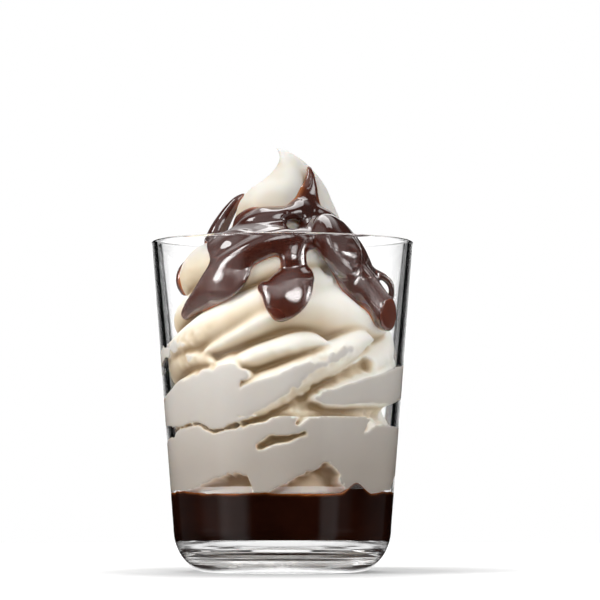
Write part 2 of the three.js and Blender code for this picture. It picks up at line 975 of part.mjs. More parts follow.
function tumblerProfile() {
  const points = [];
  const puntSteps = 4;
  for (let i = 0; i <= puntSteps; i += 1) {
    const r = (PUNT_RADIUS * i) / puntSteps;
    points.push([r, PUNT_DEPTH * (1 - (r / PUNT_RADIUS) ** 2)]);
  }
  const cornerSteps = 5;
  const footOut = outerRadius(FOOT_CORNER) - FOOT_RADIUS;
  for (let i = 0; i <= cornerSteps; i += 1) {
    const angle = (90 * i) / cornerSteps;
    points.push([
      FOOT_RADIUS + footOut * Math.sin(angle * DEGREE),
      FOOT_CORNER * (1 - Math.cos(angle * DEGREE)),
    ]);
  }
  const lip = GLASS_HEIGHT - RIM_ROUNDING;
  points.push([outerRadius(lip), lip]);
  const rimMiddle = (outerRadius(lip) + innerRadius(lip)) / 2;
  const rimHalf = (outerRadius(lip) - innerRadius(lip)) / 2;
  points.push([rimMiddle + rimHalf * 0.6, GLASS_HEIGHT - RIM_ROUNDING * 0.2]);
  points.push([rimMiddle, GLASS_HEIGHT]);
  points.push([rimMiddle - rimHalf * 0.6, GLASS_HEIGHT - RIM_ROUNDING * 0.2]);
  points.push([innerRadius(lip), lip]);
  const cornerTop = FLOOR_HEIGHT + FLOOR_CORNER;
  const floorOut = innerRadius(cornerTop) - FLOOR_RADIUS;
  for (let i = 0; i <= cornerSteps; i += 1) {
    const angle = 90 - (90 * i) / cornerSteps;
    points.push([
      FLOOR_RADIUS + floorOut * Math.sin(angle * DEGREE),
      cornerTop - FLOOR_CORNER * Math.cos(angle * DEGREE),
    ]);
  }
  points.push([0, FLOOR_HEIGHT]);
  return points.map(([r, z]) => new THREE.Vector2(r, z));
}

function tumbler() {
  const lathe = new THREE.LatheGeometry(tumblerProfile(), GLASS_SEGMENTS);
  return lathe.rotateX(Math.PI / 2);
}

// Radius of the inside of the tumbler near its rounded floor.
function cavityRadius(z) {
  const cornerTop = FLOOR_HEIGHT + FLOOR_CORNER;
  if (z >= cornerTop) {
    return innerRadius(z);
  }
  const drop = (cornerTop - z) / FLOOR_CORNER;
  return FLOOR_RADIUS + (innerRadius(cornerTop) - FLOOR_RADIUS) * Math.sqrt(1 - drop ** 2);
}

function bottomLayer() {
  const sides = [9.0, 10, 11.6, 14, 19];
  const circle = (radius, heightAt) =>
    ring(LAYER_SEGMENTS, (azimuth) => {
      const x = Math.sin(azimuth * DEGREE) * radius;
      const y = -Math.cos(azimuth * DEGREE) * radius;
      return [x, y, heightAt(x, y)];
    });
  const rings = sides.map((z) => circle(cavityRadius(z) - GAP, () => z));
  const wallRadius = innerRadius(LAYER_HEIGHT) - GAP;
  for (const radius of [wallRadius, wallRadius - 1.4, LAYER_EDGE + 0.8]) {
    rings.push(circle(radius, layerHeight));
  }
  return ringLoft(rings, [0, 0, sides[0]], [0, 0, LAYER_HEIGHT]);
}

// Space inside the tumbler that is open to sauce, up to well above the peak.
function cavityBody() {
  const top = TIP_HEIGHT + 5;
  const profile = [
    [0, SHEET_FLOOR - 25],
    [innerRadius(SHEET_FLOOR - 25) - GAP, SHEET_FLOOR - 25],
    [innerRadius(GLASS_HEIGHT) - GAP, GLASS_HEIGHT],
    [innerRadius(GLASS_HEIGHT) - GAP, top],
    [0, top],
  ];
  const lathe = new THREE.LatheGeometry(profile.map(([r, z]) => new THREE.Vector2(r, z)), GLASS_SEGMENTS);
  return lathe.rotateX(Math.PI / 2);
}

function piece(name, geometry, colour, roughness) {
  geometry.computeVertexNormals();
  const material = new THREE.MeshStandardMaterial({ color: colour, roughness, metalness: 0 });
  const mesh = new THREE.Mesh(geometry, material);
  mesh.name = name;
  return mesh;
}

const heights = rowHeights();
const swirlRadii = heights.map((z) => ring(SWIRL_SEGMENTS, (azimuth) => outermost(azimuth, z, swirlDistance)));
const sauceHeights = everySecond(heights);
const underRadii = everySecond(swirlRadii).map(everySecond);
const coatedRadii = sauceHeights.map((z, row) => {
  if (z < SHEET_FLOOR) {
    return underRadii[row];
  }
  const coats = ring(underRadii[row].length, (azimuth) => outermost(azimuth, z, sheetDistance));
  return coats.map((radius, i) => Math.max(radius, underRadii[row][i]));
});
const swirl = toManifold(swirlLoft(heights, swirlRadii, 0));
const coated = toManifold(swirlLoft(sauceHeights, coatedRadii, 0));
const grown = toManifold(swirlLoft(sauceHeights, underRadii, SAUCE_GAP));
const cavity = toManifold(cavityBody());
const tubes = [...RUNS.map(runTube), ...FREE_RUNS.map(freeTube)];
const runs = tubes.map((geometry) => toManifold(geometry).intersect(cavity));
const laid = runs.reduce((body, run) => body.add(run), coated.subtract(grown)).subtract(grown);
const fitted = toManifold(swirlLoft(heights, swirlRadii, UNDERSIDE_GAP)).simplify(UNDERSIDE_TOLERANCE);
const lifted = swirl.asOriginal().simplify(SWIRL_TOLERANCE).translate(0, 0, GAP);
const poured = laid.asOriginal().simplify(UNDERSIDE_TOLERANCE).subtract(fitted).subtract(lifted);

const sundae = new THREE.Group();
sundae.name = "ice_cream_sundae";
sundae.add(piece("glass_tumbler", tumbler(), GLASS_COLOUR, 0.05));
sundae.add(piece("fudge_base", bottomLayer(), LAYER_COLOUR, 0.25));
sundae.add(piece("soft_serve", toGeometry(swirl, SWIRL_TOLERANCE), CREAM_COLOUR, 0.55));
sundae.add(piece("chocolate_sauce", toGeometry(poured, SAUCE_TOLERANCE), SAUCE_COLOUR, 0.15));

export default sundae;
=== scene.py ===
"""Looks of the ice cream sundae. The fields are in millimetres, and the meshes in metres.

Azimuths are in degrees round the glass, 0 at the front (-Y) and positive to the right (+X).
"""

import functools
import math

import bpy
import numpy as np
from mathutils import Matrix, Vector


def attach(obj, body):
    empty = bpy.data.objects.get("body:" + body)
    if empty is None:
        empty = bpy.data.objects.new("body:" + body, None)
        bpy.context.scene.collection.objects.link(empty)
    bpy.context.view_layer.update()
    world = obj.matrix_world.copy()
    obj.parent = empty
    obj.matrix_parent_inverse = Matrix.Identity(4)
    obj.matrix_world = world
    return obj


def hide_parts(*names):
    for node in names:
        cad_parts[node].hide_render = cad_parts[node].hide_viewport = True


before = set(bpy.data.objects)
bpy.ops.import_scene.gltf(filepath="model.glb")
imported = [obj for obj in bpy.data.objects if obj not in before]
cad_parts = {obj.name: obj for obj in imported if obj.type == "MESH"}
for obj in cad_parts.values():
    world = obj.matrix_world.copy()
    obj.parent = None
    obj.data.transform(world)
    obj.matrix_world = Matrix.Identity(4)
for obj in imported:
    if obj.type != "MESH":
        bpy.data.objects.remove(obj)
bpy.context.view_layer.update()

MM = 0.001

# ------------ sizes

# Tumbler.
GLASS_HEIGHT = 101.3
RIM_RADIUS = 40.35
SIDE_TAPER = 0.0785
FOOT_RADIUS = 23.0
FOOT_CORNER = 13.5
PUNT_RADIUS = 19.0
PUNT_DEPTH = 1.2
PUNT_LIP = 1.2
PUNT_LIP_WIDTH = 1.8
FLOOR_HEIGHT = 8.5
FLOOR_RADIUS = 23.0
FLOOR_CORNER = 5.5
RIM_ROUNDING = 0.8
WALL_AT_RIM = 1.8
WALL_AT_FOOT = 3.1
GLASS_SEGMENTS = 192
# The underside of the foot is ground up to this height, in metres.
GROUND_UP_TO = 0.0016
GROUND_FADE = 0.0003
GROUND_ROUGHNESS = 0.17

# How far the contents reach into the wall, so that no air is left between them.
REACH = 0.13
# Air left between the bottom layer and the floor of the tumbler, which keeps the foot clear and bright.
FLOOR_AIR = 0.3
# Gap over which a surface counts as touching the wall.
TOUCH_GAP = 0.22
SAUCE_TOUCH_GAP = 0.25

# Bottom layer of sauce. It is rippled and lighter within this depth of its edge.
LAYER_HEIGHT = 24.0
LAYER_EDGE = 27.0
LAYER_EDGE_DEPTH = 1.6
LAYER_SHOULDER = 1.5
LAYER_SEGMENTS = 256

# Swirl: grid, box, and top, which is just inside the CAD box.
SWIRL_CELL = 0.5
SWIRL_LOW, SWIRL_HIGH = (-38.0, -38.0, 22.5), (38.0, 38.0, 131.0)
SWIRL_TOP = 129.9
MEAN_RADIUS = 34.0
# The foot of the swirl fills the glass up to a height in front, and to another at the rear.
PRESSED_RADIUS = 36.5
PRESSED_TOP = 47.0
PRESSED_TOP_REAR = 27.0
REAR_FROM, REAR_OVER = 92, 30
# Share of the folds' blend that is left in the creases.
FOLD_SHARPNESS = 0.55
# Length over which the end of a fold thins out, and how far it is rounded beyond.
END_LENGTH = 6.0
END_DEPTH = 3.0
END_THINNEST = 0.04
LOBE_SLOPE = 0.8
LOBE_BLEND = 1.5
PEAK_BLEND = 2
# Rounding of the creases at the wall, and how much wider than their tables they are.
CREASE_ROUNDING = 0.8
CREASE_WIDENING = 0.15
# How far from the wall the swirl is torn ragged.
TEAR_DEPTH = 0.8
# Unevenness of hand-piped cream: waves, their shortest and longest length, and their height.
WAVES = 7
WAVE_LENGTHS = (9, 20)
WAVE_HEIGHT = 0.06
# Reach of the neighbourhood that tells creases from ridges.
CREASE_REACH = 2.2

# Map of the wall.
MAP_AZIMUTH_STEP = 0.25
MAP_HEIGHT_STEP = 0.2
MAP_AZIMUTHS = np.arange(-180, 180, MAP_AZIMUTH_STEP)
MAP_HEIGHTS = np.arange(20, 112, MAP_HEIGHT_STEP)

# Poured sauce: grid, box and coat. The coat ends in a bead and has one hole.
SAUCE_CELL = 0.4
SAUCE_LOW, SAUCE_HIGH = (-36.0, -38.0, 71.0), (36.0, 32.0, 126.0)
SHEET_THICKNESS = 2.2
SHEET_HOLE = (5, 106.6, 1.9, 1.5)
SHEET_FLOOR = 90.0
SHEET_BLEND = 2.0
BEAD = 2.4
# Blends between the runs, and between a run and the space that is kept off the wall.
RUN_BLEND = 1.2
RUN_WALL_GAP = 0.5
RUN_WALL_BLEND = 4.0
HOLE_BLEND = 0.8
# How deep the sauce reaches into the swirl, and the depth at which it looks dark.
SAUCE_SUNK = 1.0
DARK_DEPTH = 2.5
# Distance that stands for far away in the fields.
FAR = 9
# Rays that look for the swirl start this far from the axis, step so often, and count as there when so near.
MARCH_FROM = 44
MARCH_STEPS = 160
MARCH_RADIUS = 37.5
MARCH_NEAR = 0.02

# Where the front is seen from, for the runs that are laid as they look from there.
EYE = np.array((5.4, -1033.0, 30.0))

# ------------ tables

# Core of the swirl: height, radius.
CORE = [
    (20, 30.5), (60, 30.5), (75, 29), (90, 24), (100, 18), (104, 10),
]

# Centre line that the poured sauce goes round: height, x, y.
CENTRE = [
    (20, 0, 0), (90, 0, 0), (104, 2, 1), (118, 3, 0), (124.5, 3.2, -1), (128.7, -0.2, -1), (130, -1.7, -1),
]

# Coat of sauce: azimuth, lower edge, upper edge.
SHEET = [
    (-180, 99.5, 104.5), (-110, 100, 104.5), (-80, 101.5, 104), (-56, 99.5, 103.5), (-50, 97, 105),
    (-45, 95, 108.5), (-33, 94, 110.8), (-12, 95.4, 111), (0, 95.4, 109.6), (11, 95.4, 110.7),
    (14, 101, 111), (22, 101, 112), (27, 96, 112.5), (50, 94, 113), (66, 94, 111), (76, 95, 104.5),
    (90, 98, 104.5), (130, 99.5, 105), (180, 99.5, 104.5),
]

# Folds of the swirl: depth, lean, blend, and stations of azimuth, height, reach, half height.
FOLDS = [
    # Shoulder.
    (12, 0, 1.2, [
        (-165, 80, 29.1, 8), (-85, 90.5, 31.4, 10), (-55, 92, 30, 9.5), (-25, 95, 27.5, 8),
        (40, 99, 23.5, 5),
    ]),
    # Upper.
    (9, 5, 2, [
        (-150, 66, 33.5, 7), (-80, 77.5, 33.1, 7), (-45, 83.5, 30.8, 6.5), (-10, 90.5, 28.6, 6.5),
        (45, 97, 24, 6),
    ]),
    # Crest.
    (9, -14, 1, [
        (-130, 58, 35, 7), (-95, 65.5, 36.2, 4.5), (-55, 70.8, 35.5, 7.5), (-18, 78, 32.9, 9),
        (12, 85, 29.9, 7.5), (30, 89, 28, 6),
    ]),
    # Front.
    (10, 12, 4, [
        (-45, 63.5, 34.5, 2.5), (-20, 70.8, 34.8, 4), (0, 76.8, 33.5, 6), (20, 78.6, 32.7, 8.6),
        (35, 77.6, 32.7, 9.6), (50, 74.8, 33.3, 6.4), (80, 73, 33.5, 4),
    ]),
    # Left lens.
    (8, 10, 1, [(-115, 57, 34.5, 6), (-75, 62, 34.7, 5.5), (-50, 64, 34.9, 4.5), (-35, 62.5, 34.5, 3)]),
    # Flute.
    (7, 10, 1, [(-30, 61, 33.9, 4), (-10, 65, 34.5, 4.2), (10, 68, 34.5, 4.2), (24, 68.5, 33.8, 3.4)]),
    # Belly.
    (9, 28, 2.5, [
        (-45, 47, 35, 7), (-10, 53.3, 35.8, 7.6), (13, 59.3, 35.8, 6.2), (43, 67, 35.5, 5.2),
        (53, 68.5, 34.1, 4),
    ]),
    # Left press.
    (9, 10, 1, [
        (-130, 38, 35.5, 8), (-90, 46.5, 36.3, 8), (-60, 52, 36.5, 8.5), (-30, 57, 36.5, 9.5),
        (-20, 59, 36.3, 9.8),
    ]),
    # Right rear.
    (9, 5, 2, [
        (0, 50, 31.5, 6), (50, 61, 33.5, 7.5), (75, 66, 34.3, 7), (135, 78, 33.3, 8), (205, 94, 28, 8),
    ]),
    # Right press.
    (8, 10, 1, [
        (8, 51.5, 34.5, 2), (25, 52.5, 35.7, 4), (45, 54.5, 36.4, 5.6), (95, 60.5, 36.3, 9),
        (150, 71, 34, 8), (200, 80, 30.6, 8),
    ]),
    # Rear upper.
    (9, 12, 1, [(84, 40, 35.1, 6), (120, 47.5, 35.7, 7.5), (165, 57, 35.3, 7.5), (215, 67, 33.7, 7)]),
    # Rear middle.
    (9, 12, 1, [(110, 30, 34, 6), (150, 39, 35.3, 7.5), (190, 48, 35.5, 7.5), (232, 58, 35, 7)]),
    # Rear lower.
    (9, 12, 1, [(160, 24, 33.5, 6), (195, 31, 34.7, 7), (235, 39.5, 35.3, 7.5)]),
]

# Creases in what is pressed on the wall: depth, and stations of azimuth, height, half width.
CREASES = [
    (4.5, [
        (-64, 43.8, 0.35), (-47, 45, 0.5), (-37, 42.4, 0.35), (-9, 46.5, 0.9), (5, 50.6, 1.9),
        (12, 50.3, 2.8), (24, 48.6, 0.8), (38, 49.2, 0.35), (60, 47.4, 2.4), (88, 47.5, 3.2),
        (105, 50, 2.5),
    ]),
    (5, [(10, 51.5, 2.6), (18, 55.6, 1.4), (30, 58.5, 1.9), (50, 63, 3)]),
    (3.5, [(14, 49, 1.5), (8, 44.9, 0.3)]),
    (3, [(56, 47.5, 2), (46.5, 42.4, 0.3)]),
    (4, [(-11.5, 38, 0.9), (-5, 40, 1.5), (3, 40.4, 0.7), (11.5, 42, 0.3)]),
    (5, [(-66, 24, 0.3), (-50, 25, 1), (-24, 26, 4.2), (-20, 24, 2.5)]),
    (3, [(-110, 38, 0.5), (-90, 41.5, 2.2), (-64, 43.8, 0.4)]),
    (3.5, [(78, 24, 1), (86, 27, 2.2), (98, 30, 1.2)]),
    (6, [(-4, 24, 1), (6, 25, 2.8), (24, 27.5, 5.2), (34, 24, 2)]),
]

# Lobes of the peak: height, x, y, radius.
LOBES = [
    [
        (90, -4, -3, 19), (104, -4, -3, 12.2), (108, -3.8, -3, 10.8), (113.7, -3.2, -2.5, 9.6),
        (117.7, -1.3, -2, 8.2), (121.3, 1, -1.5, 5.6), (124.5, 1.9, -1, 3.7), (127, 1.6, -1, 2.5),
        (128.5, 0.5, -1, 1.6), (130, -1.7, -1, 0.3),
    ],
    [
        (90, 13, 1, 11), (104, 11, 1.5, 8), (113.7, 10, 1.5, 5.2), (117.7, 9.3, 1, 4.3),
        (121.3, 7.8, 0, 3.4), (124.5, 5.6, -0.5, 2.8), (126.6, 4, -0.6, 2.1), (129, 1, -1, 0.6),
    ],
    [(90, 1, 9, 18), (104, 2, 7, 11), (112, 3, 4, 7.5), (118, 4, 2, 4.5), (125, 3, 0, 0.5)],
]

# Rises of the layer's edge at the wall: azimuth, width, height.
LAYER_RISES = [
    (43, 6.5, 3.4), (72, 12, 0.9), (-68, 14, 0.9), (-12, 10, 0.4), (150, 20, 1.2), (-140, 16, 0.8),
]

# Places where the swirl tears away from the wall raggedly: azimuth, height, size.
RAGGED_PLACES = [(-21, 63, 6), (-26, 57, 4), (51, 67, 5), (38, 63.5, 6), (8, 53, 7), (60, 49, 6)]

# Openings in the sauce seen from the front: side, height, half width, half height.
HOLES_SEEN = [(3.1, 106.5, 1.7, 1.45)]

# Runs that reach the wall. The others stand off it.
TOUCHING_RUNS = ("right_end",)

# Runs of sauce seen from the front: side and height in the axis plane, half width, thickness.
SEEN_RUNS = {
    "peak_streak": [
        (8.2, 123.9, 0.5, 0.8), (8.6, 121, 1.3, 1.3), (8.2, 117.6, 2.3, 1.9), (7.4, 115.2, 3.2, 2.3),
        (6.8, 113, 4, 2.6), (7.6, 108, 4.2, 2.6),
    ],
    "upper_rope": [
        (7.2, 112.4, 2.4, 3.2), (4.2, 110.4, 2.2, 3.8), (-0.7, 108.4, 2.2, 4), (-6.3, 107.4, 2.2, 3.6),
        (-10.6, 105.8, 1.8, 3), (-14, 103.4, 1.2, 2),
    ],
    "lower_rope": [
        (6.3, 101.6, 2.6, 3.8), (1.7, 101, 2.8, 4.6), (-4.5, 99.6, 3.2, 5.2), (-10, 97.2, 3.8, 5.4),
        (-14.6, 93.8, 4.4, 5.4), (-17.6, 90.2, 4.4, 5), (-21.8, 86.2, 3.4, 4), (-26.6, 81.6, 2, 2.6),
        (-29.2, 78.6, 1.1, 1.3),
    ],
    "left_drip": [
        (-15.6, 98.4, 5.6, 2.4), (-16, 94.4, 5.8, 2.4), (-16.6, 90.7, 5.2, 2.4), (-19.6, 86.7, 4, 2.2),
        (-23.6, 83, 2.6, 1.8),
    ],
    "centre_drip": [
        (2.9, 99.4, 4, 2.6), (3.3, 95.3, 3.9, 2.8), (3.8, 91.6, 4, 3), (3.4, 88.9, 4.6, 3.2),
        (2, 86.4, 5.8, 3.2), (0.9, 83.4, 5.8, 3.2), (0, 81.2, 4.7, 3), (-0.9, 79.4, 3.1, 2.6),
    ],
    "centre_bump": [(0, 83.6, 3.4, 3), (-3.6, 85.8, 2.6, 2.6), (-5.4, 86.8, 1.6, 2.2)],
    "upper_left": [(-4, 108.6, 2.2, 1.6), (-9, 109.2, 2.4, 1.4), (-12.6, 107.2, 2.2, 1.3)],
    "right_drip": [
        (14.5, 102.5, 5.4, 3.4), (18.4, 98, 6.6, 4.4), (20.4, 94.1, 6.8, 4.6), (22, 90.4, 6.4, 4.6),
        (25.2, 86.6, 5.8, 4.4),
    ],
    "right_edge": [
        (9.5, 118, 0.6, 0.8), (11, 111, 1.2, 1.2), (12.8, 107.2, 1.8, 1.8), (15.3, 104, 2.6, 2.4),
    ],
}

# Runs laid by azimuth about the centre line, height, half width, thickness.
ROUND_RUNS = {
    "rear_drip_long": [(150, 101, 4, 2.6), (148, 92, 3.2, 2.6), (146, 84, 3.2, 2.6), (145, 79, 3.4, 2.6)],
    "rear_drip_short": [(205, 101, 4.5, 2.4), (209, 94, 3, 2.4), (212, 89, 3.2, 2.4)],
    "left_sliver": [(-124, 101, 3, 2), (-104, 95, 2.8, 2), (-98, 89, 2.2, 2), (-101, 86, 1.6, 1.6)],
}

# Runs that stand off the swirl: x, y, z, half width, thickness.
FREE_RUNS = {
    "left_rear": [
        (-11.9, 0.5, 116, 0.4, 0.5), (-13.9, 0.8, 113.9, 1.5, 1.5), (-16, 1.2, 111.2, 2, 2),
        (-18, 1.6, 108, 2.5, 2.4), (-19.8, 1.2, 104.6, 3.2, 2.6), (-20.8, 0, 101.2, 3.4, 2.4),
        (-19.6, -3, 98, 3, 2),
    ],
    "right_loop": [
        (24, -3, 92.2, 1.6, 1.6), (28.4, -2, 91.2, 1.3, 1.3), (31.6, -1, 89.6, 1.2, 1.2),
        (33.6, 0, 87.2, 1.2, 1.2), (33.8, 1, 84.4, 1.3, 1.3), (32.4, 1.5, 81.6, 1.4, 1.4),
        (30, 1.5, 80, 1.4, 1.4),
    ],
    "right_end": [
        (20.6, -12, 91, 5.6, 5), (24.2, -14.4, 86.2, 5.4, 5), (27.9, -16.6, 80.8, 5, 4.8),
        (30.8, -18.2, 77.4, 4.7, 4.5),
    ],
}


# ------------ fields


def outer_radius(z):
    return RIM_RADIUS - SIDE_TAPER * (GLASS_HEIGHT - z)


def inner_radius(z):
    share = (z - FLOOR_HEIGHT) / (GLASS_HEIGHT - FLOOR_HEIGHT)
    return outer_radius(z) - WALL_AT_FOOT - (WALL_AT_RIM - WALL_AT_FOOT) * share


def smooth_min(a, b, k):
    h = np.maximum(k - np.abs(a - b), 0) / k
    return np.minimum(a, b) - h * h * k * 0.25


def smooth_step(x, low, high):
    s = np.clip((x - low) / (high - low), 0, 1)
    return s * s * (3 - 2 * s)


def curve(rows, step):
    """Rows of a table at a fixed step of the first column, on a smooth curve through them."""
    rows = np.array(rows, float)
    key = rows[:, 0]
    at = np.arange(key[0], key[-1] + step / 2, step)
    i = np.clip(np.searchsorted(key, at, side="right") - 1, 0, len(key) - 2)
    span = key[i + 1] - key[i]
    s = np.clip((at - key[i]) / span, 0, 1)
    columns = [at]
    for column in rows.T[1:]:
        slope = np.gradient(column, key)
        start = (2 * s**3 - 3 * s**2 + 1) * column[i] + (s**3 - 2 * s**2 + s) * span * slope[i]
        end = (3 * s**2 - 2 * s**3) * column[i + 1] + (s**3 - s**2) * span * slope[i + 1]
        columns.append(start + end)
    return columns


FOLD_CURVES = [curve(stations, 1) for *_, stations in FOLDS]
LOBE_CURVES = [curve(rows, 0.5) for rows in LOBES]


def column_at(rows, key, column):
    rows = np.array(rows, float)
    return np.interp(key, rows[:, 0], rows[:, column])


def azimuth_of(x, y):
    return np.degrees(np.arctan2(x, -y))


def fold_distance(azimuth, radius, z, depth, lean, samples):
    """Distance to a fold: an ellipse carried along its arc, with rounded ends."""
    at, heights, reaches, halves = samples
    middle = (at[0] + at[-1]) / 2
    turned = (azimuth - middle + 180) % 360 - 180 + middle
    held = np.clip(turned, at[0], at[-1])
    from_end = np.radians(np.minimum(held - at[0], at[-1] - held)) * MEAN_RADIUS
    taper = 1 - (1 - np.clip(from_end / END_LENGTH, 0, 1)) ** 2
    full = np.sqrt(np.maximum(taper, END_THINNEST))
    height = np.interp(held, at, heights)
    half_height = np.interp(held, at, halves) * full
    half_depth = depth * (0.4 + 0.6 * full)
    beyond = np.radians(np.abs(turned - held)) * radius
    out = radius - (np.interp(held, at, reaches) - half_depth)
    cos, sin = math.cos(math.radians(lean)), math.sin(math.radians(lean))
    out, height, half_height, half_depth, beyond = (
        np.asarray(a, np.float32) for a in (out, height, half_height, half_depth, beyond)
    )
    up = z - height
    across = (out * cos + up * sin) / half_depth
    along = (up * cos - out * sin) / half_height
    near = np.sqrt(across**2 + along**2 + (beyond / END_DEPTH) ** 2) + 1e-6
    steep = (across / half_depth) ** 2 + (along / half_height) ** 2 + (beyond / END_DEPTH**2) ** 2
    return near * (near - 1) / (np.sqrt(steep) + 1e-6)


def lobe_distance(x, y, z, rows, samples):
    at, *columns = samples
    centre_x, centre_y, radius = (np.interp(z, at, a).astype(np.float32) for a in columns)
    side = (np.hypot(x - centre_x, y - centre_y) - radius) * LOBE_SLOPE
    return np.maximum(side, np.maximum(z - rows[-1][0], rows[0][0] - z - 4))


def piped_distance(x, y, z, extra=0.0):
    """The swirl before the glass holds it. Extra blend gives the softer form that sauce takes."""
    radius = np.hypot(x, y)
    azimuth = azimuth_of(x, y)
    core = radius - column_at(CORE, z, 1).astype(np.float32)
    distance = np.maximum(core, z - CORE[-1][0])
    for (depth, lean, blend, _), samples in zip(FOLDS, FOLD_CURVES):
        near = fold_distance(azimuth, radius, z, depth, lean, samples)
        distance = smooth_min(distance, near, blend * FOLD_SHARPNESS + extra)
    behind = np.clip((np.abs(azimuth) - REAR_FROM) / REAR_OVER, 0, 1)
    pressed_top = PRESSED_TOP + (PRESSED_TOP_REAR - PRESSED_TOP) * behind
    distance = np.minimum(distance, np.maximum(radius - PRESSED_RADIUS, z - pressed_top))
    lobes = [lobe_distance(x, y, z, rows, samples) for rows, samples in zip(LOBES, LOBE_CURVES)]
    peak = functools.reduce(lambda a, b: smooth_min(a, b, LOBE_BLEND + extra), lobes)
    return smooth_min(distance, peak, PEAK_BLEND + extra)


def crease_depth(azimuth, z, uneven):
    """How far the creases hold the swirl off the wall."""
    mm_per_degree = math.radians(MEAN_RADIUS)
    deepest = np.zeros(np.broadcast(azimuth, z).shape)
    for depth, stations in CREASES:
        inside = np.full(deepest.shape, -1e9)
        for a, b in zip(stations[:-1], stations[1:]):
            px, pz = (azimuth - a[0]) * mm_per_degree, z - a[1]
            ex, ez = (b[0] - a[0]) * mm_per_degree, b[1] - a[1]
            t = np.clip((px * ex + pz * ez) / (ex * ex + ez * ez), 0, 1)
            reach = a[2] + (b[2] - a[2]) * t - np.hypot(px - ex * t, pz - ez * t)
            inside = np.maximum(inside, reach)
        inside = np.maximum(inside + uneven + CREASE_WIDENING, 0)
        deepest = np.maximum(deepest, depth * (1 - np.exp(-inside / CREASE_ROUNDING)))
    return deepest


def layer_height(x, y):
    edge = smooth_step(np.hypot(x, y), LAYER_EDGE, inner_radius(LAYER_HEIGHT))
    rise = 0
    for azimuth, width, height in LAYER_RISES:
        off = (azimuth_of(x, y) - azimuth + 180) % 360 - 180
        rise = np.maximum(rise, height * np.exp(-((off / width) ** 2)))
    return LAYER_HEIGHT + rise * edge


def wall_noise(seed, size, azimuth, z):
    """Smooth noise from -1 to 1 over the wall, with features of about a size, without a seam."""
    round_count = max(int(2 * math.pi * MEAN_RADIUS / size), 3)
    up_count = int(140 / size) + 3
    grid = np.random.default_rng(seed).uniform(-1, 1, (round_count, up_count))
    place = (azimuth % 360) / 360 * round_count
    lift = z / size
    i, k = np.floor(place).astype(int), np.floor(lift).astype(int)
    s, t = place - i, lift - k
    s, t = s * s * (3 - 2 * s), t * t * (3 - 2 * t)
    i, j = i % round_count, (i + 1) % round_count
    low = grid[i, k] * (1 - s) + grid[j, k] * s
    high = grid[i, k + 1] * (1 - s) + grid[j, k + 1] * s
    return low * (1 - t) + high * t


@functools.cache
def wall_maps():
    """How far the swirl stands off the wall, and how ragged it tears away from it."""
    azimuth, z = np.meshgrid(MAP_AZIMUTHS, MAP_HEIGHTS, indexing="ij")
    patches = smooth_step(wall_noise(11, 14, azimuth, z), -0.1, 0.6)
    for at, height, size in RAGGED_PLACES:
        off = np.hypot((azimuth - at) * math.radians(MEAN_RADIUS), z - height) / size
        patches = np.maximum(patches, np.exp(-off * off))
    fine = wall_noise(12, 1.6, azimuth, z) * 0.65 + wall_noise(13, 0.8, azimuth, z) * 0.35
    slow = wall_noise(14, 6, azimuth, z)
    stand = crease_depth(azimuth, z, 0.35 * slow + fine * (0.2 + 0.9 * patches))
    ragged = fine * (0.1 + 0.9 * patches) + 0.2 * slow
    return stand.astype(np.float32), ragged.astype(np.float32)


def on_wall(table, azimuth, z):
    i = np.round((azimuth + 180) / MAP_AZIMUTH_STEP).astype(int) % len(MAP_AZIMUTHS)
    k = np.clip(np.round((z - MAP_HEIGHTS[0]) / MAP_HEIGHT_STEP).astype(int), 0, len(MAP_HEIGHTS) - 1)
    return table[i, k]


def grid_axes(low, high, cell):
    axes = [np.arange(a, b + cell, cell, dtype=np.float32) for a, b in zip(low, high)]
    return axes[0][:, None, None], axes[1][None, :, None], axes[2][None, None, :]


def undulation(x, y, z):
    """Slight unevenness of hand-piped cream."""
    rng = np.random.default_rng(5)
    total = 0
    for _ in range(WAVES):
        direction = rng.normal(size=3)
        direction *= 2 * math.pi / rng.uniform(*WAVE_LENGTHS) / np.linalg.norm(direction)
        phase = rng.uniform(0, 2 * math.pi)
        wave = x * np.float32(direction[0]) + y * np.float32(direction[1])
        total = total + np.sin(wave + z * np.float32(direction[2]) + np.float32(phase))
    return total * np.float32(WAVE_HEIGHT)


def held_swirl(x, y, z):
    """The swirl as the glass and the layer of sauce hold it."""
    radius, azimuth = np.hypot(x, y), azimuth_of(x, y)
    stand, ragged = wall_maps()
    wall = radius - inner_radius(z)
    piped = piped_distance(x, y, z) + undulation(x, y, z)
    piped += on_wall(ragged, azimuth, z) * np.exp(-np.abs(wall) / TEAR_DEPTH)
    held = wall - np.float32(REACH) + on_wall(stand, azimuth, z)
    return np.maximum(np.maximum(piped, held), layer_height(x, y) - 0.1 - z)


def sample(volume, low, cell, points):
    """Value of a volume at points, between its grid corners."""
    place = (points - np.array(low)) / cell
    base = np.clip(np.floor(place).astype(int), 0, np.array(volume.shape) - 2)
    share = np.clip(place - base, 0, 1)
    value = 0
    for corner in np.ndindex(2, 2, 2):
        weight = np.prod(np.where(corner, share, 1 - share), axis=1)
        value = value + weight * volume[tuple((base + corner).T)]
    return value


def fullness(volume, cell, reach):
    """Share of the neighbourhood that is solid: over a half in creases, under it on ridges."""
    full = (volume < 0).astype(np.float32)
    steps = max(int(reach / cell), 1)
    for _ in range(2):
        for axis in range(3):
            total = np.cumsum(full, axis=axis)
            full = (np.roll(total, -steps, axis) - np.roll(total, steps, axis)) / (2 * steps)
    return full


# ------------ meshes


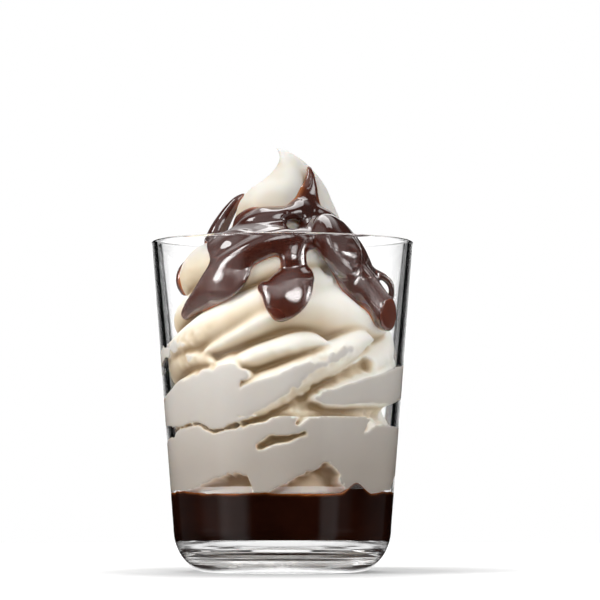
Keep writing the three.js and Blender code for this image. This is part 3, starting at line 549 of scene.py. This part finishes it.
def surface_nets(f, low, cell):
    """Quads round the negative part of a field on a grid."""
    inside = f < 0
    corner_sum = np.zeros(tuple(n - 1 for n in f.shape), np.int8)
    for corner in np.ndindex(2, 2, 2):
        corner_sum += inside[tuple(slice(d, d + n) for d, n in zip(corner, corner_sum.shape))]
    active = (corner_sum > 0) & (corner_sum < 8)
    number = np.full(active.shape, -1, np.int64)
    cells = np.argwhere(active)
    number[active] = np.arange(len(cells))
    total = np.zeros((len(cells), 3))
    count = np.zeros(len(cells))
    for axis in range(3):
        for corner in np.ndindex(2, 2, 2):
            if corner[axis]:
                continue
            other = np.array(corner)
            other[axis] = 1
            fa, fb = f[tuple((cells + corner).T)], f[tuple((cells + other).T)]
            crossed = (fa < 0) != (fb < 0)
            share = np.where(crossed, fa / np.where(crossed, fa - fb, 1), 0)
            point = np.tile(np.array(corner, float), (len(cells), 1))
            point[:, axis] += share
            total[crossed] += point[crossed]
            count[crossed] += 1
    vertices = (cells + total / count[:, None]) * cell + np.array(low)
    quads = []
    for axis in range(3):
        b, c = ((1, 2), (2, 0), (0, 1))[axis]
        first, second = [slice(1, -1)] * 3, [slice(1, -1)] * 3
        first[axis], second[axis] = slice(0, -1), slice(1, None)
        here, there = inside[tuple(first)], inside[tuple(second)]
        edges = np.argwhere(here != there)
        start = edges + np.array([0 if n == axis else 1 for n in range(3)])
        corners = []
        for db, dc in ((1, 1), (0, 1), (0, 0), (1, 0)):
            at = start.copy()
            at[:, b] -= db
            at[:, c] -= dc
            corners.append(number[tuple(at.T)])
        quad = np.stack(corners, 1)
        outward = ~here[tuple(edges.T)]
        quad[outward] = quad[outward][:, ::-1]
        quads.append(quad)
    return vertices, np.concatenate(quads)


def keep_largest(vertices, quads):
    """Drops crumbs that hang free of the main body."""
    label = np.arange(len(vertices))
    while True:
        lowest = label[quads].min(axis=1)
        fresh = label.copy()
        for n in range(4):
            np.minimum.at(fresh, quads[:, n], lowest)
        fresh = fresh[fresh]
        if np.array_equal(fresh, label):
            break
        label = fresh
    keep = label == np.bincount(label, minlength=len(vertices)).argmax()
    place = np.cumsum(keep) - 1
    return vertices[keep], place[quads[keep[quads[:, 0]]]]


def relax(vertices, quads, rounds):
    """Evens the facets out, moving each vertex half way to the middle of its neighbours."""
    pairs = np.concatenate([quads[:, [n, (n + 1) % 4]] for n in range(4)])
    for _ in range(rounds):
        total = np.zeros_like(vertices)
        count = np.zeros(len(vertices))
        for a, b in ((0, 1), (1, 0)):
            for axis in range(3):
                total[:, axis] += np.bincount(pairs[:, a], vertices[pairs[:, b], axis], len(vertices))
            count += np.bincount(pairs[:, a], minlength=len(vertices))
        vertices = vertices + (total / count[:, None] - vertices) * 0.5
    return vertices


def skin(field, low, cell, rounds):
    """Even mesh round the largest body of a field."""
    vertices, quads = keep_largest(*surface_nets(field, low, cell))
    return relax(vertices, quads, rounds), quads


def touching(vertices, gap):
    """One where vertices lie on the wall of the glass, and zero from a gap off it."""
    radius = np.hypot(vertices[:, 0], vertices[:, 1])
    return smooth_step(inner_radius(vertices[:, 2]) - radius, gap, 0.0)


def make_piece(name, vertices, faces, values, node, material):
    """Piece from vertices in millimetres, with named numbers on them, in place of a node."""
    mesh = bpy.data.meshes.new(name)
    mesh.from_pydata((np.asarray(vertices) * MM).tolist(), [], faces)
    mesh.polygons.foreach_set("use_smooth", np.ones(len(mesh.polygons), bool))
    for key, numbers in values.items():
        layer = mesh.attributes.new(key, "FLOAT", "POINT")
        layer.data.foreach_set("value", np.asarray(numbers, np.float32))
    mesh.update()
    piece = bpy.data.objects.new(name, mesh)
    bpy.context.collection.objects.link(piece)
    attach(piece, "root")
    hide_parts(node)
    piece.data.materials.append(material)


def ring_faces(rings, segments):
    """Faces of a closed body: a point on the axis, rings of vertices, and another point."""
    last = 1 + rings * segments
    faces = []
    for n in range(segments):
        m = (n + 1) % segments
        faces.append((0, 1 + m, 1 + n))
        for ring in range(rings - 1):
            a, b = 1 + ring * segments + n, 1 + ring * segments + m
            faces.append((a, b, b + segments, a + segments))
        faces.append((last, last - segments + n, last - segments + m))
    return faces


# ------------ materials

# Cream away from the glass, from ridges to creases, where it darkens to orange-brown as painted shade.
CREAM_CREASE_SHADE_STOPS = [
    (0.30, (0.92, 0.895, 0.845)),
    (0.48, (0.885, 0.848, 0.765)),
    (0.60, (0.70, 0.58, 0.42)),
    (0.74, (0.30, 0.20, 0.105)),
]
# Cream pressed on the glass: its colours at two heights in metres, darker at the lower one as painted shade.
PRESSED_HEIGHTS = (0.032, 0.064)
PRESSED_COLOURS_SHADED_LOW = ((0.46, 0.41, 0.36, 1), (0.67, 0.635, 0.595, 1))
# Poured sauce, from its thin edges to where it is thick.
SAUCE_STOPS = [
    (0.0, (0.60, 0.20, 0.040)),
    (0.16, (0.32, 0.080, 0.018)),
    (0.34, (0.130, 0.030, 0.013)),
    (0.6, (0.082, 0.020, 0.012)),
    (1.0, (0.062, 0.015, 0.009)),
]
# Bottom sauce, from its depths to its upper edge.
FUDGE_STOPS = [
    (0.0, (0.014, 0.0036, 0.0017)),
    (0.5, (0.020, 0.005, 0.0022)),
    (0.8, (0.10, 0.028, 0.008)),
    (1.0, (0.33, 0.11, 0.03)),
]


class Tree:
    """Node tree with short ways to add nodes. A value is a number, a colour or an output."""

    def __init__(self, owner):
        owner.use_nodes = True
        self.nodes, self.links = owner.node_tree.nodes, owner.node_tree.links

    def fill(self, node, values):
        for key, value in values.items():
            if hasattr(value, "is_linked"):
                self.links.new(value, node.inputs[key])
            else:
                node.inputs[key].default_value = value

    def add(self, kind, values, output=0, **settings):
        node = self.nodes.new("ShaderNode" + kind)
        for name, value in settings.items():
            setattr(node, name, value)
        self.fill(node, values)
        return node.outputs[output]

    def math(self, operation, *values, clamp=False):
        return self.add("Math", dict(enumerate(values)), operation=operation, use_clamp=clamp)

    def times(self, first, second):
        return self.math("MULTIPLY", first, second)

    def span(self, source, low, high, to_low, to_high, kind="LINEAR"):
        values = {"Value": source, "From Min": low, "From Max": high, "To Min": to_low, "To Max": to_high}
        return self.add("MapRange", values, "Result", interpolation_type=kind)

    def step(self, source, low, high, to_low, to_high):
        return self.span(source, low, high, to_low, to_high, "SMOOTHSTEP")

    def place(self, kind="Object"):
        return self.add("TexCoord", {}, kind)

    def axis(self, vector, name):
        return self.add("SeparateXYZ", {"Vector": vector}, name)

    def noise(self, scale, detail):
        """Noise in object space, at a scale per metre."""
        return self.add("TexNoise", {"Scale": scale, "Detail": detail, "Vector": self.place()}, "Fac")

    def cloud(self, scale, detail, low, high):
        """Noise as a value between two limits."""
        return self.span(self.noise(scale, detail), 0.3, 0.7, low, high)

    def attribute(self, name):
        return self.add("Attribute", {}, "Fac", attribute_name=name)

    def ramp(self, source, stops):
        node = self.nodes.new("ShaderNodeValToRGB")
        elements = node.color_ramp.elements
        while len(elements) < len(stops):
            elements.new(0.5)
        for element, (position, colour) in zip(elements, stops):
            element.position = position
            element.color = (*colour, 1)
        self.fill(node, {"Fac": source})
        return node.outputs["Color"]

    def mix(self, factor, first, second, blend="MIX"):
        return self.add("Mix", {0: factor, 6: first, 7: second}, 2, data_type="RGBA", blend_type=blend)

    def bump(self, source, strength, distance, **after):
        values = {"Strength": strength, "Distance": distance, "Height": source, **after}
        return self.add("Bump", values, "Normal")

    def ray(self, name):
        return self.add("LightPath", {}, name)

    def glow(self, strength):
        return self.add("Emission", {"Strength": strength})

    def choose(self, test, first, second):
        """The first shader, or the second where the test is one."""
        return self.add("MixShader", {0: test, 1: first, 2: second})

    def show(self, shader):
        self.fill(self.nodes["Material Output"], {"Surface": shader})

    def all_of(self, *tests):
        """One where every test holds, else zero: output of the light path, comparison, number."""
        return functools.reduce(self.times, [self.math(how, self.ray(name), n) for name, how, n in tests])

    def thrown_out(self):
        """One for rays that something glossy inside the glass has sent out through it, else zero."""
        return self.all_of(("Glossy Depth", "GREATER_THAN", 0.5), ("Transmission Depth", "GREATER_THAN", 2.5))

    def straight_through(self):
        """One for rays that have only passed through glass, else zero."""
        return self.all_of(
            ("Transmission Depth", "GREATER_THAN", 0.5),
            ("Glossy Depth", "LESS_THAN", 0.5),
            ("Diffuse Depth", "LESS_THAN", 0.5),
        )


def new_material(name):
    material = bpy.data.materials.new(name)
    tree = Tree(material)
    return material, tree, tree.nodes["Principled BSDF"]


def cream_material():
    material, tree, shader = new_material("soft_serve_cream")
    # Cream away from the glass darkens in its creases: painted shade.
    free = tree.ramp(tree.attribute("hollow"), CREAM_CREASE_SHADE_STOPS)
    # Pressed cream darkens towards the bottom: painted shade.
    dense = tree.span(tree.axis(tree.place(), "Z"), *PRESSED_HEIGHTS, 0, 1)
    pressed = tree.mix(1.0, tree.mix(dense, *PRESSED_COLOURS_SHADED_LOW), tree.cloud(60, 3, 0.93, 1.0), "MULTIPLY")
    coarse = tree.bump(tree.noise(260, 3), 0.25, 0.0004)
    tree.fill(shader, {
        "Base Color": tree.mix(tree.attribute("touch"), free, pressed),
        "Roughness": tree.cloud(240, 2, 0.42, 0.58),
        "Subsurface Weight": 0.35,
        "Subsurface Radius": (1.0, 0.62, 0.38),
        "Subsurface Scale": 0.0025,
        "Specular IOR Level": 0.35,
        "Normal": tree.bump(tree.noise(1500, 2), 0.12, 0.0001, Normal=coarse),
    })
    return material


def sauce_material():
    material, tree, shader = new_material("chocolate_sauce_gloss")
    tree.fill(shader, {
        "Base Color": tree.ramp(tree.attribute("thick"), SAUCE_STOPS),
        "Roughness": tree.cloud(150, 3, 0.07, 0.14),
        "Specular IOR Level": 0.7,
        "Coat Weight": 1.0,
        "Coat Roughness": 0.03,
        "Normal": tree.bump(tree.noise(180, 2), 0.15, 0.0006),
    })
    return material


def fudge_material():
    material, tree, shader = new_material("bottom_sauce_gloss")
    edge = tree.ramp(tree.attribute("edge"), FUDGE_STOPS)
    cloud = tree.span(tree.noise(45, 3), 0.35, 0.65, 0.6, 1.4)
    tree.fill(shader, {
        "Base Color": tree.mix(1.0, edge, cloud, "MULTIPLY"),
        "Roughness": tree.cloud(120, 2, 0.35, 0.5),
        "Specular IOR Level": 0.0,
    })
    return material


def glass_material():
    """Clear glass that lets lamps through to what it holds."""
    material, tree, shader = new_material("tumbler_glass")
    height = tree.axis(tree.place(), "Z")
    ground = tree.span(height, GROUND_UP_TO, GROUND_UP_TO + GROUND_FADE, GROUND_ROUGHNESS, 0)
    tree.fill(shader, {
        "Base Color": (1.0, 1.0, 1.0, 1),
        "IOR": 1.5,
        "Transmission Weight": 1.0,
        "Roughness": tree.math("MAXIMUM", tree.cloud(30, 2, 0.0, 0.002), ground),
    })
    clear = tree.add("BsdfTransparent", {"Color": (0.96, 0.97, 0.97, 1)})
    tree.show(tree.choose(tree.ray("Is Shadow Ray"), shader.outputs["BSDF"], clear))
    return material


# ------------ tumbler and bottom layer


def tumbler_profile():
    """Radius and height from the middle of the underside round the rim to the middle of the floor."""
    reach = PUNT_RADIUS - PUNT_LIP
    points = [(r, PUNT_DEPTH * (1 - (r / PUNT_RADIUS) ** 2)) for r in np.linspace(0, reach, 14)]
    lip = points[-1][1]
    points += [(reach + PUNT_LIP_WIDTH * t, lip * (1 - t) ** 2) for t in (0.25, 0.5, 0.75, 1.0)]
    foot_out = outer_radius(FOOT_CORNER) - FOOT_RADIUS
    for angle in np.radians(np.linspace(0, 90, 19)):
        points.append((FOOT_RADIUS + foot_out * math.sin(angle), FOOT_CORNER * (1 - math.cos(angle))))
    top = GLASS_HEIGHT - RIM_ROUNDING
    points += [(outer_radius(z), z) for z in np.linspace(FOOT_CORNER, top, 14)[1:]]
    middle = (outer_radius(top) + inner_radius(top)) / 2
    half = (outer_radius(top) - inner_radius(top)) / 2
    for angle in np.radians(np.linspace(0, 180, 11)[1:-1]):
        points.append((middle + half * math.cos(angle), top + RIM_ROUNDING * math.sin(angle)))
    corner_top = FLOOR_HEIGHT + FLOOR_CORNER
    points += [(inner_radius(z), z) for z in np.linspace(top, corner_top, 14)]
    floor_out = inner_radius(corner_top) - FLOOR_RADIUS
    for angle in np.radians(np.linspace(90, 0, 13)[1:]):
        z = corner_top - FLOOR_CORNER * math.cos(angle)
        points.append((FLOOR_RADIUS + floor_out * math.sin(angle), z))
    return points + [(r, FLOOR_HEIGHT) for r in np.linspace(FLOOR_RADIUS, 0, 6)[1:]]


def crisp(points, margin=0.12):
    """Extra points close to the ends of long stretches, so that they shade straight."""
    dense = [points[0]]
    for a, b in zip(points[:-1], points[1:]):
        length = math.dist(a, b)
        if length > 6 * margin:
            for share in (margin / length, 1 - margin / length):
                dense.append(tuple(p + (q - p) * share for p, q in zip(a, b)))
        dense.append(b)
    return dense


def make_tumbler():
    first, *rings, last = crisp(tumbler_profile())
    vertices = [(0, 0, first[1])]
    for r, z in rings:
        for n in range(GLASS_SEGMENTS):
            turn = 2 * math.pi * n / GLASS_SEGMENTS
            vertices.append((r * math.sin(turn), -r * math.cos(turn), z))
    vertices.append((0, 0, last[1]))
    faces = ring_faces(len(rings), GLASS_SEGMENTS)
    make_piece("clear_tumbler", vertices, faces, {}, "glass_tumbler", glass_material())


def cavity_radius(z):
    corner_top = FLOOR_HEIGHT + FLOOR_CORNER
    if z >= corner_top:
        return inner_radius(z)
    drop = min((corner_top - z) / FLOOR_CORNER, 1)
    return FLOOR_RADIUS + (inner_radius(corner_top) - FLOOR_RADIUS) * math.sqrt(1 - drop**2)


def layer_rings():
    """Rings of the bottom layer: radius, then a height or a share of the way from shoulder to top."""
    floor = FLOOR_HEIGHT + FLOOR_AIR
    corner_top = FLOOR_HEIGHT + FLOOR_CORNER
    rings = [(r, floor, None) for r in np.linspace(0, FLOOR_RADIUS - 0.5, 8)[1:]]
    sides = [corner_top - FLOOR_CORNER * math.cos(a) for a in np.radians(np.linspace(20, 90, 10))]
    for z in sides + list(np.linspace(corner_top, LAYER_HEIGHT - LAYER_SHOULDER, 12)[1:]):
        lifted = 1 - smooth_step(z, FLOOR_HEIGHT + 1.2, FLOOR_HEIGHT + 2.2)
        rings.append((cavity_radius(z) + REACH - (REACH + FLOOR_AIR) * lifted, z, None))
    wall = inner_radius(LAYER_HEIGHT)
    rings += [(wall + REACH, None, share) for share in (0.3, 0.6, 0.85, 1.0)]
    inward = (wall - 0.5, wall - 1.2, wall - 2.4, LAYER_EDGE + 1, LAYER_EDGE - 2, 20, 12, 5)
    return rings + [(r, None, 1.0) for r in inward]


def make_fudge():
    rings = layer_rings()
    vertices, edge = [(0, 0, FLOOR_HEIGHT + FLOOR_AIR)], [0.0]
    azimuths = np.arange(LAYER_SEGMENTS) * 360 / LAYER_SEGMENTS
    level = azimuths * 0 + 5
    ripple = 0.35 * wall_noise(21, 7, azimuths, level) + 0.2 * wall_noise(22, 2.5, azimuths, level)
    shoulder = LAYER_HEIGHT - LAYER_SHOULDER
    for r, fixed, share in rings:
        for azimuth, lift in zip(np.radians(azimuths), ripple):
            x, y = r * math.sin(azimuth), -r * math.cos(azimuth)
            full = float(layer_height(x, y))
            z = fixed if share is None else shoulder + (full - shoulder) * share
            crown = smooth_step(z, LAYER_HEIGHT - LAYER_EDGE_DEPTH, LAYER_HEIGHT)
            crown *= smooth_step(r, LAYER_EDGE, inner_radius(LAYER_HEIGHT))
            z += lift * crown
            vertices.append((x, y, z))
            below = full + lift * crown - z
            edge.append(float(np.clip(1 - below / LAYER_EDGE_DEPTH, 0, 1)) if z > 20 else 0.0)
    vertices.append((0, 0, LAYER_HEIGHT))
    edge.append(1.0)
    faces = ring_faces(len(rings), LAYER_SEGMENTS)
    make_piece("bottom_sauce", vertices, faces, {"edge": edge}, "fudge_base", fudge_material())


# ------------ swirl and poured sauce


def make_swirl():
    held = held_swirl(*grid_axes(SWIRL_LOW, SWIRL_HIGH, SWIRL_CELL))
    vertices, quads = skin(held, SWIRL_LOW, SWIRL_CELL, 2)
    vertices[:, 2] = np.minimum(vertices[:, 2], SWIRL_TOP)
    touch = touching(vertices, TOUCH_GAP)
    # How hollow the cream is round each vertex; this drives the painted shade in its creases.
    hollow = sample(fullness(held, SWIRL_CELL, CREASE_REACH), SWIRL_LOW, SWIRL_CELL, vertices)
    values = {"touch": touch, "hollow": hollow * (1 - touch) + 0.5 * touch}
    make_piece("soft_serve_swirl", vertices, quads.tolist(), values, "soft_serve", cream_material())


def sheet_distance(x, y, z, soft):
    """The coat of sauce over the softened swirl, with a bead at its edges and a hole."""
    centre_x, centre_y = (column_at(CENTRE, z, n).astype(np.float32) for n in (1, 2))
    dx, dy = x - centre_x, y - centre_y
    azimuth, radius = azimuth_of(dx, dy), np.hypot(dx, dy)
    hole_azimuth, hole_height, hole_width, hole_rise = SHEET_HOLE
    aside = np.radians(azimuth - hole_azimuth) * radius / hole_width
    off_hole = (np.hypot(aside, (z - hole_height) / hole_rise) - 1) * hole_rise
    low, high = column_at(SHEET, azimuth, 1), column_at(SHEET, azimuth, 2)
    inside = np.minimum(np.minimum(z - low, high - z), off_hole)
    share = np.clip(inside / BEAD, 0, 1)
    raised = np.where(inside > 0, SHEET_THICKNESS * np.sqrt(1 - (1 - share) ** 2), inside)
    return soft - raised


def spread(stations):
    """Columns of stations, followed smoothly in short steps."""
    return curve([(n, *station) for n, station in enumerate(stations)], 0.125)[1:]


def at_points(volume, points):
    return sample(volume, SAUCE_LOW, SAUCE_CELL, points)


def march(start, along, soft):
    """Points where rays first meet the softened swirl."""
    points = start.copy()
    for _ in range(MARCH_STEPS):
        away = at_points(soft, points)
        outside = np.hypot(points[:, 0], points[:, 1]) > MARCH_RADIUS
        away = np.where(outside, np.maximum(away, 0.5), away)
        move = np.where(away > MARCH_NEAR, np.maximum(away * 0.6, MARCH_NEAR), 0)
        points = points + along * move[:, None]
    return points


def unit(vectors):
    return vectors / (np.linalg.norm(vectors, axis=1)[:, None] + 1e-9)


def path_round(stations, soft):
    """Path on the swirl round its centre line: azimuth, height, half width, thickness."""
    azimuth, z, width, thickness = spread(stations)
    out = np.stack([np.sin(np.radians(azimuth)), -np.cos(np.radians(azimuth)), azimuth * 0], 1)
    centre = np.stack([column_at(CENTRE, z, 1), column_at(CENTRE, z, 2), z], 1)
    return march(centre + out * MARCH_FROM, -out, soft), width, thickness


def path_seen(stations, soft):
    """Path on the swirl as seen from the front: side, height, half width, thickness."""
    side, z, width, thickness = spread(stations)
    along = unit(np.stack([side, side * 0, z], 1) - EYE)
    start = EYE + along * ((-MARCH_FROM - EYE[1]) / along[:, 1])[:, None]
    return march(start, along, soft), width, thickness


def path_free(stations, soft):
    """Path through space: x, y, z, half width, thickness."""
    columns = spread(stations)
    return np.stack(columns[:3], 1), columns[3], columns[4]


def normals_at(points, soft, step=0.6):
    steps = np.eye(3) * step
    return unit(np.stack([at_points(soft, points + s) - at_points(soft, points - s) for s in steps], 1))


def tube_distance(axes, points, normals, widths, thicknesses):
    """Distance to an oval tube along points, kept to the boxes round its stretches."""
    x, y, z = (a.ravel() for a in axes)
    distance = np.full((len(x), len(y), len(z)), FAR, np.float32)
    for n in range(len(points) - 1):
        a, b = points[n], points[n + 1]
        (wa, wb), (ta, tb) = widths[n : n + 2], thicknesses[n : n + 2]
        margin = max(wa, wb) + 2.5
        ranges = []
        for axis, values in enumerate((x, y, z)):
            low = np.searchsorted(values, min(a[axis], b[axis]) - margin)
            high = np.searchsorted(values, max(a[axis], b[axis]) + margin)
            ranges.append(slice(low, high))
        px = (x[ranges[0]] - a[0])[:, None, None]
        py = (y[ranges[1]] - a[1])[None, :, None]
        pz = (z[ranges[2]] - a[2])[None, None, :]
        edge = b - a
        t = np.clip((px * edge[0] + py * edge[1] + pz * edge[2]) / max(edge @ edge, 1e-6), 0, 1)
        qx, qy, qz = px - edge[0] * t, py - edge[1] * t, pz - edge[2] * t
        normal = normals[n] + normals[n + 1]
        normal = normal / (np.linalg.norm(normal) + 1e-9)
        up = qx * normal[0] + qy * normal[1] + qz * normal[2]
        flat = np.maximum(qx * qx + qy * qy + qz * qz - up * up, 0)
        width, thick = wa + (wb - wa) * t, ta + (tb - ta) * t
        near = np.sqrt(flat / width**2 + up * up / thick**2) + 1e-6
        steep = np.sqrt(flat / width**4 + up * up / thick**4) + 1e-6
        distance[tuple(ranges)] = np.minimum(distance[tuple(ranges)], near * (near - 1) / steep)
    return distance


def make_sauce():
    axes = grid_axes(SAUCE_LOW, SAUCE_HIGH, SAUCE_CELL)
    x, y, z = axes
    held = held_swirl(x, y, z)
    soft = piped_distance(x, y, z, SHEET_BLEND)
    sauce = np.where(z > SHEET_FLOOR, sheet_distance(x, y, z, soft), FAR).astype(np.float32)
    wall = np.hypot(x, y) - inner_radius(z)
    for follow, runs in ((path_round, ROUND_RUNS), (path_seen, SEEN_RUNS), (path_free, FREE_RUNS)):
        for name, stations in runs.items():
            points, widths, thicknesses = follow(stations, soft)
            normals = normals_at(points, soft)
            if follow is path_seen:
                widths = widths / np.clip(np.sum(normals * unit(EYE - points), axis=1), 0.6, 1)
            tube = tube_distance(axes, points, normals, widths, thicknesses)
            if name not in TOUCHING_RUNS:
                tube = -smooth_min(-tube, -(wall + RUN_WALL_GAP), RUN_WALL_BLEND)
            sauce = smooth_min(sauce, tube, RUN_BLEND)
    share = (0 - EYE[1]) / (y - EYE[1])
    side, height = EYE[0] + (x - EYE[0]) * share, EYE[2] + (z - EYE[2]) * share
    for hole_side, hole_height, hole_width, hole_rise in HOLES_SEEN:
        off = np.hypot((side - hole_side) / hole_width, (height - hole_height) / hole_rise) - 1
        off = np.where(y < 0, off * min(hole_width, hole_rise), FAR)
        sauce = -smooth_min(-sauce, off, HOLE_BLEND)
    body = np.maximum(np.maximum(sauce, wall - REACH), -(held + SAUCE_SUNK))
    vertices, quads = skin(body, SAUCE_LOW, SAUCE_CELL, 6)
    touch = touching(vertices, SAUCE_TOUCH_GAP)
    thick = np.clip(at_points(held, vertices) / DARK_DEPTH, 0, 1) * (1 - touch) + 0.5 * touch
    faces, values = quads.tolist(), {"thick": thick}
    make_piece("poured_sauce", vertices, faces, values, "chocolate_sauce", sauce_material())


# ------------ studio

# Floor: radius, and its own glow near the object and away from it, from one radius to another.
FLOOR_SIZE = 0.42
FLOOR_GLOW, FLOOR_GLOW_FAR = 0.02, 1.02
FLOOR_LIT, FLOOR_UNLIT = 0.048, 0.15
# Light that the floor throws up at the object.
FLOOR_BOUNCE = 0.15
# Floor as the glass shows it: dark in front of the object and bright behind it.
FLOOR_FRONT, FLOOR_BACK, FLOOR_BACK_GLOW = -0.11, -0.07, 1.4

# Soft boxes: place, point aimed at, size, power.
LAMPS = [
    ((-0.37, -0.17, 0.34), (0, 0, 0.08), (0.14, 0.34), 1.15),
    ((0.10, 0.14, 0.48), (0, 0, 0.09), (0.40, 0.22), 0.65),
    ((0.30, -0.26, 0.30), (0, 0, 0.08), (0.05, 0.34), 0.1),
]

# Even light from above and behind.
FILL = 0.05
# Soft lights from far away: azimuth, elevation, inner and outer angle of the cone, strength, the
# share of it that everything sees, and the share that only reflections see.
LIGHTS = [
    (-72, 8, 6, 30, 0.22, 1, 0),
    (64, 6, 4, 22, 0.15, 1, 0),
    (22, 27, 5, 18, 4.0, 1.1, 0),
    (76, 15, 5, 18, 4.0, 0.25, 0.75),
    (92, -2, 6, 26, 2.2, 0, 0),
    (-58, 18, 4, 16, 2.4, 1, 0),
    (-20, 55, 10, 45, 0.5, 1, 0),
    (180, 40, 20, 50, 0.8, 1, 0),
]
# How much more of them shows in the sauce behind the glass.
SHINE = 1.8
# Bright background, and dark flags beside it: from and to this azimuth, up to this elevation.
BACKDROP = 1.35
FLAG_FROM, FLAG_TO, FLAG_TOP = 12.5, 42, 28
FLAG_DARKNESS = 0.97
# White ceiling above this elevation, seen through the glass.
OVERHEAD_FROM, OVERHEAD = 30, 1.3
# Tall soft strips in front of the object, seen below the horizon: azimuth, half width, strength.
STRIPS = [(-52, 22, 0.45), (50, 14, 0.40)]


def make_floor():
    """White floor that glows more away from the object, where no lamp reaches it."""
    segments = 96
    turns = [2 * math.pi * n / segments for n in range(segments)]
    rim = [(FLOOR_SIZE * math.cos(turn), FLOOR_SIZE * math.sin(turn), 0) for turn in turns]
    faces = [(0, 1 + n, 1 + (n + 1) % segments) for n in range(segments)]
    mesh = bpy.data.meshes.new("floor")
    mesh.from_pydata([(0, 0, 0), *rim], [], faces)
    floor = bpy.data.objects.new("floor", mesh)
    bpy.context.collection.objects.link(floor)
    floor.visible_glossy = False
    material, tree, shader = new_material("white_floor")
    away = tree.add("VectorMath", {0: tree.place()}, "Value", operation="LENGTH")
    tree.fill(shader, {
        "Base Color": (0.92, 0.92, 0.92, 1),
        "Roughness": 0.9,
        "Specular IOR Level": 0.0,
        "Emission Color": (1, 1, 1, 1),
        "Emission Strength": tree.span(away, FLOOR_LIT, FLOOR_UNLIT, FLOOR_GLOW, FLOOR_GLOW_FAR),
    })
    bright = tree.span(tree.axis(tree.place(), "Y"), FLOOR_FRONT, FLOOR_BACK, 0, FLOOR_BACK_GLOW)
    kept = tree.math("SUBTRACT", bright, tree.thrown_out(), clamp=True)
    through = tree.glow(tree.math("MAXIMUM", kept, tree.straight_through()))
    plain = tree.choose(tree.ray("Is Transmission Ray"), shader.outputs["BSDF"], through)
    tree.show(tree.choose(tree.ray("Is Diffuse Ray"), plain, tree.glow(FLOOR_BOUNCE)))
    floor.data.materials.append(material)


def make_lamps():
    for n, (place, aim, size, power) in enumerate(LAMPS):
        data = bpy.data.lights.new("soft_box_%d" % n, "AREA")
        data.shape = "RECTANGLE"
        data.size, data.size_y = size
        data.energy = power
        lamp = bpy.data.objects.new(data.name, data)
        lamp.location = place
        lamp.rotation_euler = (Vector(aim) - Vector(place)).to_track_quat("-Z", "Y").to_euler()
        bpy.context.collection.objects.link(lamp)


def far_lights(tree, place, thrown):
    """Sum of the far lights, as what looks at them sees them."""
    mirrored = tree.math("MINIMUM", tree.ray("Is Reflection Ray"), tree.ray("Is Glossy Ray"))
    mirrored = tree.math("MAXIMUM", mirrored, thrown)
    total = 0.0
    for azimuth, elevation, inner, outer, strength, plain, sheen in LIGHTS:
        a, e = math.radians(azimuth), math.radians(elevation)
        axis = (math.sin(a) * math.cos(e), -math.cos(a) * math.cos(e), math.sin(e))
        near = tree.add("VectorMath", {0: place, 1: axis}, "Value", operation="DOT_PRODUCT")
        lobe = tree.step(near, math.cos(math.radians(outer)), math.cos(math.radians(inner)), 0, strength)
        share = tree.math("ADD", tree.times(mirrored, sheen), plain)
        share = tree.math("ADD", share, tree.times(thrown, SHINE))
        total = tree.math("ADD", total, tree.times(lobe, share))
    return total


def make_world():
    """White studio: bright behind, above and to the sides, with dark flags beside the background."""
    world = bpy.data.worlds.new("studio")
    bpy.context.scene.world = world
    tree = Tree(world)
    place = tree.place("Generated")
    x, y, z = (tree.axis(place, name) for name in "XYZ")
    turn = tree.math("ABSOLUTE", tree.math("ARCTAN2", x, y))
    azimuth = tree.math("ARCTAN2", x, tree.times(y, -1.0))
    thrown = tree.thrown_out()

    def by_turn(low, high, to_low, to_high):
        return tree.step(turn, math.radians(low), math.radians(high), to_low, to_high)

    def by_height(low, high, to_low, to_high):
        return tree.step(z, math.sin(math.radians(low)), math.sin(math.radians(high)), to_low, to_high)

    even = tree.math("MAXIMUM", tree.step(z, -0.03, 0.03, 0, 1), by_turn(70, 100, 1, 0))
    seen = tree.math("ADD", tree.times(even, FILL), far_lights(tree, place, thrown))
    flag = tree.times(by_turn(FLAG_FROM, FLAG_FROM + 2, 0, 1), by_turn(FLAG_TO, FLAG_TO + 8, 1, 0))
    flag = tree.times(flag, by_height(FLAG_TOP, FLAG_TOP + 8, 1, 0))
    seen = tree.times(seen, tree.math("SUBTRACT", 1.0, tree.times(flag, FLAG_DARKNESS)))
    seen = tree.math("MAXIMUM", seen, by_turn(FLAG_FROM - 0.5, FLAG_FROM + 1.5, BACKDROP, 0))
    for middle, half_width, strength in STRIPS:
        off = tree.math("ABSOLUTE", tree.math("SUBTRACT", azimuth, math.radians(middle)))
        strip = tree.step(off, math.radians(half_width * 0.4), math.radians(half_width), strength, 0)
        seen = tree.math("ADD", seen, tree.times(strip, tree.step(z, -0.02, 0.02, 1, 0)))
    overhead = by_height(OVERHEAD_FROM, OVERHEAD_FROM + 12, 0, OVERHEAD)
    guided = tree.math("SUBTRACT", tree.ray("Is Transmission Ray"), thrown)
    seen = tree.math("MAXIMUM", seen, tree.times(overhead, guided))
    seen = tree.math("MAXIMUM", seen, tree.times(by_turn(60, 85, 0, 1), tree.straight_through()))
    camera = tree.ray("Is Camera Ray")
    seen = tree.math("ADD", tree.times(seen, tree.math("SUBTRACT", 1.0, camera)), camera)
    tree.fill(tree.nodes["Background"], {"Color": (1, 1, 1, 1), "Strength": seen})


def make_camera():
    data = bpy.data.cameras.new("camera")
    data.lens = 202.0
    data.sensor_width = 36.0
    camera = bpy.data.objects.new("camera", data)
    camera.location = (0.0054, -1.033, 0.030)
    camera.rotation_euler = (math.radians(90 + 2.95), 0, 0)
    bpy.context.collection.objects.link(camera)
    bpy.context.scene.camera = camera


scene = bpy.context.scene
scene.view_settings.view_transform = "Standard"
scene.view_settings.look = "None"
# Enough for light that is thrown to and fro inside the foot of the glass.
scene.cycles.max_bounces = 32
scene.cycles.glossy_bounces = 24
scene.cycles.transmission_bounces = 24
make_camera()
make_world()
make_lamps()
make_floor()
make_tumbler()
make_fudge()
make_swirl()
make_sauce()
